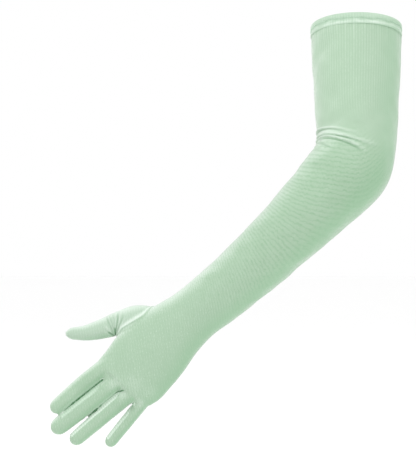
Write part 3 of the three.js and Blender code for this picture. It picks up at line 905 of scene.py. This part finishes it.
def sleeveLift(down, turn):
    folds, pale, deep = elbowFolds(down, turn)
    waves = clothUnevenness(turn / fullTurn * armAround, down)
    lift = folds + waves * smoothStep(0, clothWaves["fade"], clothWaves["end"] - down)
    gathers = 2 * uneven(turn, gatherRibs["counts"], gatherRibs["seed"])
    gathers = gathers * np.exp(-np.maximum(down - gatherRibs["from"], 0) / gatherRibs["reach"])
    # painted highlight on the puckers' ridges and painted shade between them
    pale = np.clip(pale + gatherRibs["pale"] * gathers, 0, 1)
    deep = np.clip(deep - gatherRibs["deep"] * gathers, 0, 1)
    return lift + gatherRibs["height"] * gathers, pale, deep


def plainLooks(pale, deep):
    # looks of points that are far from all seams and gaps
    away = np.full(pale.size, 99.0)
    return np.stack([pale.ravel(), deep.ravel(), away, away, 0 * away], 1)


def makeSleeve():
    # points, their places on the cloth, and looks
    parts = [np.linspace(a, b, max(2, round((b - a) / step)), endpoint=False) for a, b, step in sleeveSteps]
    downs, turns = np.concatenate([*parts, [sleeveSteps[-1][1]]]), roundTurns(sleeveSides)
    lift, pale, deep = sleeveLift(downs[:, None], turns)
    points = ovalRings(sleeveFrames(downs)[0], turns, lift)
    places = np.stack(np.broadcast_arrays(turns / fullTurn, downs[:, None]), -1)
    return points.reshape(-1, 3), places.reshape(-1, 2), plainLooks(pale, deep)


def stitchLoops(upper, upperTurn, lower, lowerTurn):
    # triangles between two rings of points, whatever their counts
    upper, lower = upper[np.argsort(upperTurn)].tolist(), lower[np.argsort(lowerTurn)].tolist()
    a, b = (np.append(np.sort(turns), np.min(turns) + fullTurn) for turns in (upperTurn, lowerTurn))
    i, j, faces = 0, 0, []
    while i < len(upper) or j < len(lower):
        here, across = upper[i % len(upper)], lower[j % len(lower)]
        if j >= len(lower) or (i < len(upper) and a[i + 1] < b[j + 1]):
            i += 1
            faces.append((here, across, upper[i % len(upper)]))
        else:
            j += 1
            faces.append((here, across, lower[j % len(lower)]))
    return faces


# Each point has a place on the cloth: share of the way round, and millimetres down. For thumb and fingers: the
# share of the way round that each takes, how far down it starts, how far apart the fingers are, from how far
# along a finger and how near to its middle the cloth counts as its own

onCloth = {"thumbRound": 0.32, "thumbDown": 360, "fingerRound": 0.2, "apart": 0.1, "fingerDown": 430, "from": 24,
           "within": 0.66}


def handPlaces(points, number):
    if number == 1:
        down, turn, _ = thumbPlacesOf(points)
        return np.stack([turn / fullTurn * onCloth["thumbRound"], onCloth["thumbDown"] + down], 1)
    down, turn, _ = armPlaces(points)
    around = turn / fullTurn
    for place, finger in enumerate(fingerRows.values()):
        along, side, face, width, _ = fingerPlaces(finger, points)
        on = (np.hypot(side, face) < onCloth["within"] * width) & (along > onCloth["from"])
        itsRound = onCloth["fingerRound"] * np.arctan2(face, side) / fullTurn
        around = np.where(on, itsRound + onCloth["apart"] * place, around)
        down = np.where(on, onCloth["fingerDown"] + along, down)
    return np.stack([around, down], 1)


def storePlaces(mesh, places):
    # kept for each corner of each face, so that the pattern runs on across the place where it closes
    corners = readAll(mesh.loops, "vertex_index", kind=np.int64)
    starts, totals = (readAll(mesh.polygons, name, kind=np.int64) for name in ("loop_start", "loop_total"))
    around, down = places[corners].T
    around = around - np.round(around - np.repeat(around[starts], totals))
    attribute = mesh.attributes.new("clothPlace", "FLOAT_VECTOR", "CORNER")
    attribute.data.foreach_set("vector", np.stack([around, down, 0 * down], 1).astype(np.float32).ravel())


# painted shade on the sides of the glove turned down and to the right, away from the light, and painted highlight
# on the sides turned up and to the left, towards it
shadedSide = {"towards": (0.8, 0, -0.6), "from": 0.05, "full": 0.75, "edge": 0.97, "atEdge": 0.6}
litSide = {"towards": (-0.5, 0, 0.866), "from": 0.4, "full": 1.05, "onHand": 0.62, "onArm": 0.4,
            "between": (-170, -110)}


def storeLooks(mesh, looks, rimmed=1.0):
    # how pale and how deep the cloth looks, with painted highlight on the sides turned up to the left, how far the
    # next seam and gap are, and painted shade on the sides turned down to the right
    normals = readAll(mesh.vertices, "normal", 3)
    sideways = normals @ np.array(shadedSide["towards"])
    paintedSideShade = smoothStep(shadedSide["from"], shadedSide["full"], sideways)
    paintedSideShade = paintedSideShade * (1 - (1 - shadedSide["atEdge"]) * smoothStep(shadedSide["full"], shadedSide["edge"], sideways))
    upwards = smoothStep(litSide["from"], litSide["full"], normals @ np.array(litSide["towards"]))
    onArm = smoothStep(*litSide["between"], pointsOf(mesh)[:, 0])
    amount = litSide["onHand"] * (1 - onArm) + litSide["onArm"] * onArm
    looks[:, 0] = np.maximum(looks[:, 0], rimmed * amount * upwards * (1 - looks[:, 1]))
    for name, values in zip(("pale", "deep", "seamAway", "gapAway", "gapDark", "paintedSideShade"), [*looks.T, paintedSideShade]):
        attribute = mesh.attributes.new(name, "FLOAT", "POINT")
        attribute.data.foreach_set("value", values.astype(np.float32))


def makeCloth(name, number):
    # one sewn piece of the hand's skin as its own object, and the main one with the sleeve
    keep = [face for face in handBm.faces if facePiece[face.index] == number]
    used = sorted({v.index for face in keep for v in face.verts})
    fresh = {old: new for new, old in enumerate(used)}
    faces = [tuple(fresh[v.index] for v in face.verts) for face in keep]
    parts = handPoints[used], handPlaces(handPoints[used], number), handLooks[used]
    if number == 0:
        sleeve = makeSleeve()
        start, rings = len(used), len(sleeve[0]) // sleeveSides
        rim = np.array(sorted({fresh[v.index] for e in handBm.edges if len(e.link_faces) == 1 for v in e.verts}))
        last = start + np.arange((rings - 1) * sleeveSides, rings * sleeveSides)
        faces += tubeFaces(rings, sleeveSides, start)
        faces += stitchLoops(last, roundTurns(sleeveSides), rim, (parts[1][rim, 0] * fullTurn) % fullTurn)
        parts = [np.concatenate(pair) for pair in zip(parts, sleeve)]
    cloth = meshObject(name, parts[0], faces)
    turnOutwards(cloth.data)
    storePlaces(cloth.data, parts[1])
    storeLooks(cloth.data, parts[2])
    print(name, len(cloth.data.polygons), "faces")
    return cloth


cloths = [makeCloth(name, number) for number, name in enumerate(clothNames)]


# The turned hem: a doubled band with a row of elastic stitching that dimples it

hemForm = {"sides": 528, "proud": 0.5, "dimples": 33, "dimple": 0.42, "dimpleReach": 1.3, "stitchLine": 5.4,
           "lineWander": 0.9, "beatWander": 2.2, "between": 0.15, "innerFrom": -0.4}
# uneven waves along it: how many fit round it, and the seed of each
hemWaves = {"line": ((3, 11, 17), 7), "beat": ((3, 5, 8), 5), "strength": ((4, 9, 13, 21), 6)}
# its rolled edge, a low puff above that, and fine unevenness: height, the steady and the uneven share of it,
# waves, seed, how far down, and reach
hemBumps = (
    (0.24, 0.75, 0.5, (7, 16, 23), 9, 9.3, 1.1),
    (0.16, 0.0, 1.0, (12, 19, 29), 10, 7.4, 1.6),
    (0.09, 0.0, 1.0, (97, 132, 71), 8, 6, 5),
)
# how pale the bumps look, a painted highlight, from the sides and more in front, where the front begins; the inner
# side with painted shade; and how deep the dimples look, painted shade
hemLooks = {"pale": 0.12, "inFront": 0.34, "front": (0.4, 0.95), "shade": 0.13, "inside": (-0.2, 0.75),
            "dimples": 0.18}
# distance down and distance out from the outer wall, round the band's section
hemSection = (
    (11.35, -0.75), (11.45, -0.3), (11.25, 0.02), (10.7, 0.12), (10.0, 0.1), (9.3, 0.1), (8.6, 0.06), (7.9, 0.0),
    (7.2, 0.0), (6.6, 0.0), (6.1, 0.0), (5.6, 0.0), (5.0, 0.0), (4.3, 0.02), (3.5, 0.05), (2.6, 0.06), (1.7, 0.04),
    (0.9, -0.03), (0.3, -0.2), (-0.05, -0.6), (0.0, -1.1), (0.3, -1.55), (1.0, -1.8), (2.4, -1.9), (4.6, -1.9),
    (7.0, -1.9), (9.2, -1.9), (10.8, -1.85), (11.3, -1.4),
)


def hemStitchLine(turn):
    return hemForm["stitchLine"] + hemForm["lineWander"] * uneven(turn, *hemWaves["line"])


def hemLift(down, turn):
    beat = 0.5 + 0.5 * np.cos(hemForm["dimples"] * turn + hemForm["beatWander"] * uneven(turn, *hemWaves["beat"]))
    strength = np.clip(0.5 + 0.8 * uneven(turn, *hemWaves["strength"]), 0.1, 1.1)
    depth = hemForm["dimple"] * strength * (hemForm["between"] + (1 - hemForm["between"]) * beat)
    lift = -depth * bell(down - hemStitchLine(turn), hemForm["dimpleReach"])
    for height, steady, share, counts, seed, at, reach in hemBumps:
        lift = lift + height * (steady + share * uneven(turn, counts, seed)) * bell(down - at, reach)
    return lift


def makeHem():
    turns = roundTurns(hemForm["sides"])
    rings, lifts = [], []
    for down, out in hemSection:
        frames, ahead = sleeveFrames([max(down, 0)])
        lifts.append(hemLift(down, turns) * (out > hemForm["innerFrom"]))
        ring = ovalRings(frames, turns, (hemForm["proud"] + out + lifts[-1])[None])[0]
        rings.append(ring + ahead[0] * min(down, 0))
    # the section closes, so the last ring meets the first
    count = len(rings) * len(turns)
    faces = [tuple(v % count for v in face) for face in tubeFaces(len(rings) + 1, len(turns))]
    band = meshObject("hem_cloth_band", rings, faces)
    turnOutwards(band.data)
    places = np.stack(np.broadcast_arrays(turns / fullTurn, np.array(hemSection)[:, :1]), -1)
    storePlaces(band.data, places.reshape(-1, 2))
    relief, edgeHeight = np.array(lifts), hemBumps[0][0]
    # painted highlight on the raised roll and puffs, painted shade in the dimples and on the inner side
    pale, deep = np.clip(relief / edgeHeight, 0, 1), np.clip(-relief / hemForm["dimple"], 0, 1)
    facing = hemLooks["pale"] + hemLooks["inFront"] * smoothStep(*hemLooks["front"], np.sin(turns))
    shade = hemLooks["shade"] * (1 - smoothStep(*hemLooks["inside"], np.cos(turns)))
    storeLooks(band.data, plainLooks(facing * pale, shade + hemLooks["dimples"] * deep), 0.0)
    return band


# slant of the stitches across a seam, and how far their middles are lifted off the cloth
stitchForm = {"slant": 0.45, "seamLift": 0.05, "hemLift": 0.02}
# a stitch from end to end: share of its length, thickness, and how far it stands out
spindle = ((0, 0.35, -0.25), (0.22, 0.9, 0.55), (0.5, 1.0, 0.85), (0.78, 0.9, 0.55), (1, 0.35, -0.25))


def threads(name, starts, ends, bulges, thickness, sides=5):
    # many short stitches as one mesh: each a small spindle from one place to another
    start, end, bulge = (np.array(part)[:, None, None] for part in (starts, ends, bulges))
    side = unit(np.cross(end - start, bulge))
    t, thick, high = np.array(spindle).T[:, :, None, None]
    turns = roundTurns(sides)[:, None]
    middle = start + (end - start) * t + bulge * high * thickness
    points = middle + thickness * thick / 2 * (side * np.cos(turns) + bulge * np.sin(turns))
    rows, each = len(spindle), len(spindle) * sides
    faces = [face for n in range(len(start)) for face in tubeFaces(rows, sides, n * each, closedEnds=True)]
    return meshObject(name, points, faces)


def hemThreads(count=176, reach=1.1):
    # a zigzag of elastic thread along the dimples
    turns = np.arange(count) / count * fullTurn
    downs = hemStitchLine(turns)

    def end(step, side):
        turn, down = turns + step * math.pi / count, downs + side * reach
        frames, _ = sleeveFrames(down)
        at = ovalPoints(frames, turn, hemForm["proud"] + hemLift(down, turn) + stitchForm["hemLift"])
        return at, unit(at - frames[0])

    (first, out), (second, _), (third, _) = end(0, -1), end(1, 1), end(2, -1)
    ends = [first, second, third]
    return threads("hem_stitching", np.concatenate(ends[:2]), np.concatenate(ends[1:]), np.tile(out, (2, 1)), 0.26)


def seamThreads(name, number, spacing, across, thickness):
    # stitches that cross the line round a piece
    normals, follow = handNormals(), {}
    for a, b in seamEdges(number):
        follow.setdefault(a, []).append(b)
        follow.setdefault(b, []).append(a)
    starts, ends, outs, seen = [], [], [], set()
    for here in sorted(follow):
        travelled = due = 0.0
        while here not in seen:
            seen.add(here)
            onwards = [index for index in follow[here] if index not in seen]
            if not onwards:
                break
            step, out = handPoints[onwards[0]] - handPoints[here], normals[here]
            length = float(np.linalg.norm(step))
            half = (unit(np.cross(step, out)) + stitchForm["slant"] * unit(step)) * across / 2
            while due <= travelled + length and length > 1e-6:
                at = handPoints[here] + step * ((due - travelled) / length) + out * stitchForm["seamLift"]
                starts.append(at - half)
                ends.append(at + half)
                outs.append(out)
                due += spacing
            travelled += length
            here = onwards[0]
    print(name, len(starts), "stitches")
    return threads(name, starts, ends, outs, thickness)


hem = makeHem()
hemStitches = hemThreads()
thumbStitches = seamThreads("thumb_seam_stitches", 1, 1.7, 1.1, 0.24)
stripStitches = [seamThreads("stitches_" + key, n, 1.9, 1.3, 0.26) for n, key in enumerate(crotchRows, 2)]
print("hem and stitches made")


# Materials


def withInputs(made, node, inputs):
    # sets inputs by name on a node of a new material or sky
    made.use_nodes = True
    for name, value in inputs.items():
        made.node_tree.nodes[node].inputs[name].default_value = value
    return made


class Value:
    # a socket of a shader, with its maths written as expressions
    def __init__(self, shader, socket):
        self.shader, self.socket = shader, socket

    def maths(self, operation, *others, clamp=False):
        return self.shader.add("ShaderNodeMath", {"operation": operation, "use_clamp": clamp}, (self, *others))[0]

    def __add__(self, other):
        return self.maths("ADD", other)

    __radd__ = __add__

    def __sub__(self, other):
        return self.maths("SUBTRACT", other)

    def __rsub__(self, other):
        return self.shader.add("ShaderNodeMath", {"operation": "SUBTRACT"}, (other, self))[0]

    def __mul__(self, other):
        return self.maths("MULTIPLY", other)

    def sine(self):
        return self.maths("SINE")

    def wave(self, length):
        return (self * (fullTurn / length)).sine()

    def size(self):
        return self.maths("ABSOLUTE")

    def atLeast(self, lowest):
        return self.maths("MAXIMUM", lowest)

    def clamped(self):
        return self.maths("MULTIPLY", 1.0, clamp=True)

    def mapped(self, low, high, toLow=0.0, toHigh=1.0):
        settings = {"interpolation_type": "SMOOTHSTEP"}
        return self.shader.add("ShaderNodeMapRange", settings, (self, low, high, toLow, toHigh))[0]


class Shader:
    # a material and the one method that adds its nodes
    def __init__(self, name, roughness, sheen, sheenRoughness, sheenTint):
        fixed = {"Roughness": roughness, "Sheen Weight": sheen, "Sheen Roughness": sheenRoughness,
                 "Sheen Tint": (*sheenTint, 1), "Specular IOR Level": 0.25}
        self.material = withInputs(bpy.data.materials.new(name), "Principled BSDF", fixed)
        self.tree = self.material.node_tree
        self.surface = self.tree.nodes["Principled BSDF"]

    def add(self, kind, settings, values):
        # settings first, then sockets by place or by name; gives back the outputs that are in use
        node = self.tree.nodes.new(kind)
        for name, value in settings.items():
            setattr(node, name, value)
        for key, value in (values.items() if isinstance(values, dict) else enumerate(values)):
            self.join(node.inputs[key], value)
        return [Value(self, socket) for socket in node.outputs if socket.enabled]

    def join(self, socket, value):
        if isinstance(value, Value):
            self.tree.links.new(value.socket, socket)
        else:
            socket.default_value = value

    def mixColours(self, factor, first, second):
        sockets = {"Factor": factor, 6: first, 7: second}
        return self.add("ShaderNodeMix", {"data_type": "RGBA", "clamp_factor": True}, sockets)[0]

    def attribute(self, name, output=2):
        return self.add("ShaderNodeAttribute", {"attribute_name": name}, ())[output]

    def noise(self, scale, detail):
        return self.add("ShaderNodeTexNoise", {"noise_dimensions": "3D"}, {"Scale": scale, "Detail": detail})[0]

    def finish(self, colour, roughness, bump, strength, distance):
        normal = self.add("ShaderNodeBump", {}, {"Strength": strength, "Distance": distance, "Height": bump})[0]
        for name, value in (("Base Color", colour), ("Roughness", roughness), ("Normal", normal)):
            self.join(self.surface.inputs[name], value)
        return self.material


netLook = {
    # pale: what the cloth's own unevenness and the painted highlights mix towards; deep: darker cloth below the
    # elbow, with painted shade at the elbow; the side shade and crevice colours are painted shade
    "base": (0.375, 0.515, 0.38, 1), "pale": (0.86, 0.935, 0.875, 1), "deep": (0.27, 0.435, 0.28, 1),
    "paintedSideShade": (0.28, 0.48, 0.3, 1), "sideShadeStrength": 0.6, "crevice": (0.09, 0.24, 0.11, 1),
    "walesRound": 101, "walesBend": (0.06, 0.8), "meshStep": 0.62, "unevenness": 0.16,
    # soft, blotched, dashed and specked noise: scale and detail
    "noises": ((28.0, 3.0), (75.0, 2.0), (240.0, 2.0), (650.0, 2.0)),
    # where down the arm the patterns come in and go out, and from what strength to what
    "walesOut": (85, 120, 0.8, 0.0), "coursesIn": (118, 150), "coursesOut": (310, 390, 0.75, 0.2),
    "handIn": (300, 370),
    # the courses show as arcs over the elbow and forearm: their spacing, where they turn up, and how much
    "courseStep": 0.0044, "courseMiddle": -0.0061, "courseRise": 23.0, "courseSlope": 0.15,
    "courseWander": 0.006, "courseWobble": 0.0035, "turnFrom": 185.0, "turnCloser": 0.0022, "turnRate": 0.011,
    "acrossForearm": (690.0, 720.0, 97.3),
    "handStep": 0.0027, "handCrossStep": 0.0038, "tickStep": 0.0026,
    # painted shade round the elbow's outer side, and darker cloth below the elbow
    "elbowAt": (0.002, -0.078, -0.152), "elbowFade": (0.02, 0.05, 0.4, 0.0), "belowIn": (110, 165),
    "belowOut": (200, 340, 1.0, 0.5),
}


def netCloth(name, base, wales=1.0, sheen=0.9, ticks=0.0):
    cloth = Shader(name, 0.82, sheen, 0.35, (0.98, 1.0, 0.98))
    around, down, _ = cloth.add("ShaderNodeSeparateXYZ", {}, (cloth.attribute("clothPlace", 1),))
    pale, deep, paintedSideShade, gapAway, gapDark = map(cloth.attribute, ("pale", "deep", "paintedSideShade", "gapAway", "gapDark"))
    inObject = cloth.add("ShaderNodeTexCoord", {}, ())[3]
    x, _, z = cloth.add("ShaderNodeSeparateXYZ", {}, (inObject,))
    soft, blotch, dash, speck = (cloth.noise(*row) for row in netLook["noises"])
    # wales run down the upper arm
    bendRate, bend = netLook["walesBend"]
    wale = (around * (fullTurn * netLook["walesRound"]) + (down * bendRate).sine() * bend).sine()
    # courses lie in arcs over the elbow and forearm
    aside = x - netLook["courseMiddle"]
    outer = aside.atLeast(0.0)
    rise = outer * outer * netLook["courseRise"] + (aside.size() - outer) * netLook["courseSlope"]
    # along the forearm they turn little by little to lie upright at the wrist; across is the way over it
    over = (down - netLook["turnFrom"]).atLeast(0.0)
    acrossX, acrossZ, acrossFrom = netLook["acrossForearm"]
    across = x * acrossX - z * acrossZ - acrossFrom
    turned = over * (over * netLook["turnCloser"] - across * netLook["turnRate"])
    wander = (blotch - 0.5) * netLook["courseWander"] + (dash - 0.5) * netLook["courseWobble"]
    course = (rise - z + turned * 0.001 + wander).wave(netLook["courseStep"])
    courses = 0.4 - course.mapped(0.1, 1.0, 0.0, 3.2)
    # the hand has fine crossed lines
    handLine = (x + z * 0.15 + wander * 0.7).wave(netLook["handStep"])
    handCross = (z - x * 0.3 + wander * 0.7).wave(netLook["handCrossStep"])
    broken = 0.2 + blotch.mapped(0.3, 0.7) * 0.5 + dash.mapped(0.38, 0.62) * 1.1
    courses = courses * down.mapped(*netLook["coursesIn"]) * down.mapped(*netLook["coursesOut"])
    handLines = handLine * (0.55 + handCross * 0.5) * down.mapped(*netLook["handIn"])
    weave = (wale * down.mapped(*netLook["walesOut"]) + courses + handLines) * broken * (1.0 - pale)
    net = around.wave(netLook["meshStep"] / armAround) * down.wave(netLook["meshStep"])
    grain = speck - 0.5
    light = (soft - 0.5) * netLook["unevenness"] + weave * (0.15 * wales) + net * 0.05 + grain * 0.55
    # painted shade round the elbow's outer side, and darker cloth down the forearm
    fromElbow = cloth.add("ShaderNodeVectorMath", {"operation": "DISTANCE"}, (inObject, netLook["elbowAt"]))[0]
    greener = down.mapped(*netLook["belowIn"]) * down.mapped(*netLook["belowOut"])
    greener = greener + fromElbow.mapped(*netLook["elbowFade"])
    gapSize = gapAway.size()
    if ticks:
        # the strips show their stitches as short darker ticks, and fade into the finger at their outer edge
        tick = (x * 0.77 + z * 0.64).wave(netLook["tickStep"])
        light = light - tick.mapped(0.0, 0.9) * dash.mapped(0.35, 0.6) * ticks
    # towards pale by the cloth's own unevenness and by the painted highlights in the pale attribute
    colour = cloth.mixColours((light * 0.6 + pale).clamped(), base, netLook["pale"])
    colour = cloth.mixColours((greener * 0.3 - light).clamped(), colour, netLook["deep"])
    # painted shade on the sides turned away from the light
    colour = cloth.mixColours(paintedSideShade * netLook["sideShadeStrength"], colour, netLook["paintedSideShade"])
    if ticks:
        inner = cloth.attribute("seamAway").mapped(-0.2, 0.7) + (1.0 - gapSize.mapped(1.5, 3.0))
        colour = cloth.mixColours(inner.clamped(), netLook["base"], colour)
    # painted shade in creases, dimples, the web's pocket and the gaps between fingers
    gap = (gapDark - gapSize).mapped(0.0, 0.4)
    colour = cloth.mixColours((deep + gap).clamped(), colour, netLook["crevice"])
    rough = 0.8 + weave * 0.03 + grain * 0.12
    bump = weave * (0.3 * wales) + net * 0.55 + grain * 0.5
    return cloth.finish(colour, rough.clamped(), bump, 0.35, 0.00025)


def threadMaterial(name, colour, dark):
    thread = Shader(name, 0.6, 0.3, 0.4, (0.9, 1.0, 0.92))
    bands = {"wave_type": "BANDS", "bands_direction": "DIAGONAL"}
    twist = thread.add("ShaderNodeTexWave", bands, {"Scale": 2600.0, "Distortion": 1.0})[1]
    return thread.finish(thread.mixColours(twist, dark, colour), 0.55 + twist * 0.2, twist, 0.4, 0.0001)


mainNet = netCloth("mint stretch net", netLook["base"])
thumbNet = netCloth("mint stretch net, thumb", (0.44, 0.56, 0.45, 1))
# the strips' pale cloth, made paler still as a painted highlight on the fingers' lit sides
stripNet = netCloth("mint stretch net, finger strips", (0.78, 0.9, 0.79, 1), 0.5, 0.5, 0.3)
# a paler copy of the strip material, a painted highlight on the strip that lies in the index finger's shade
highlitStripNet = netCloth("mint stretch net, strip of the middle finger", (0.93, 0.98, 0.93, 1), 0.5, ticks=0.3)
hemNet = netCloth("mint stretch net, doubled hem", (0.48, 0.62, 0.49, 1), 0.7)
thread = threadMaterial("mint sewing thread", (0.66, 0.82, 0.68, 1), (0.4, 0.6, 0.43, 1))

for cloth, material in zip(cloths, [mainNet, thumbNet, highlitStripNet, stripNet, stripNet]):
    cloth.data.materials.append(material)
hem.data.materials.append(hemNet)
for piece in [hemStitches, thumbStitches, *stripStitches]:
    piece.data.materials.append(thread)
print("materials made")


# Which solid each piece stands for, and how each sheet was cut

sheets = (
    (cloths[0], [], "sleeve_and_hand", "net_cloth", (0.2, 0.52), 0.078),
    (cloths[1], [thumbStitches], "thumb_piece", "net_cloth", (0.08, 0.085), 0.0042),
    (cloths[2], stripStitches[0:1], "fourchette_index_middle", "strip_cloth", (0.0105, 0.12), 0.00055),
    (cloths[3], stripStitches[1:2], "fourchette_middle_ring", "strip_cloth", (0.0105, 0.13), 0.00068),
    (cloths[4], stripStitches[2:3], "fourchette_ring_little", "strip_cloth", (0.0105, 0.095), 0.00055),
    (hem, [hemStitches], "hem_band", "hem_cloth", (0.0125, 0.25), None),
)
for piece, stitches, node, slot, flat, area in sheets:
    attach(piece, "root")
    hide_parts(node)
    for stitching in stitches:
        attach(stitching, "root")
    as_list(stitches)


# Floor, light and camera

studio = {"floorHeight": -0.56, "floorColour": (0.99, 0.99, 0.99, 1), "skyColour": (1.0, 1.0, 1.0, 1), "sky": 1.0,
          "key": 30.0, "rim": 3.0}


def areaLight(name, place, target, size, power):
    data = bpy.data.lights.new(name, "AREA")
    data.shape, data.size, data.energy = "DISK", size, power
    lamp = addObject(name, data)
    lamp.location = place
    lamp.rotation_euler = (Vector(target) - Vector(place)).to_track_quat("-Z", "Y").to_euler()


bpy.ops.mesh.primitive_plane_add(size=30, location=(0, 0, studio["floorHeight"]))
floor = bpy.context.object
floor.name = "studio_floor"
floorInputs = {"Base Color": studio["floorColour"], "Roughness": 0.9}
floor.data.materials.append(withInputs(bpy.data.materials.new("pale floor"), "Principled BSDF", floorInputs))

skyInputs = {"Color": studio["skyColour"], "Strength": studio["sky"]}
bpy.context.scene.world = withInputs(bpy.data.worlds.new("white studio"), "Background", skyInputs)
middle = (-0.13, -0.02, -0.2)
areaLight("key light", (-0.6, -1.1, 2.2), middle, 1.3, studio["key"])
areaLight("rim light", (1.7, 0.8, -0.1), middle, 0.9, studio["rim"])

# the camera sees the glove as the photograph does: its distance, and the picture's height in pixels of one size
photoView = {"sensor": 36.0, "distance": 2200, "pixels": 458, "pixelSize": 0.98}
lens = bpy.data.cameras.new("photo camera")
lens.sensor_width = photoView["sensor"]
lens.lens = photoView["sensor"] * photoView["distance"] / (photoView["pixels"] * photoView["pixelSize"])
lens.clip_end = 50
camera = addObject("photo camera", lens)
camera.location = (-0.145236, -photoView["distance"] * mm, -0.198156)
camera.rotation_euler = (math.pi / 2, 0, 0)
bpy.context.scene.camera = camera
bpy.context.scene.view_settings.view_transform = "Standard"
print("studio made")
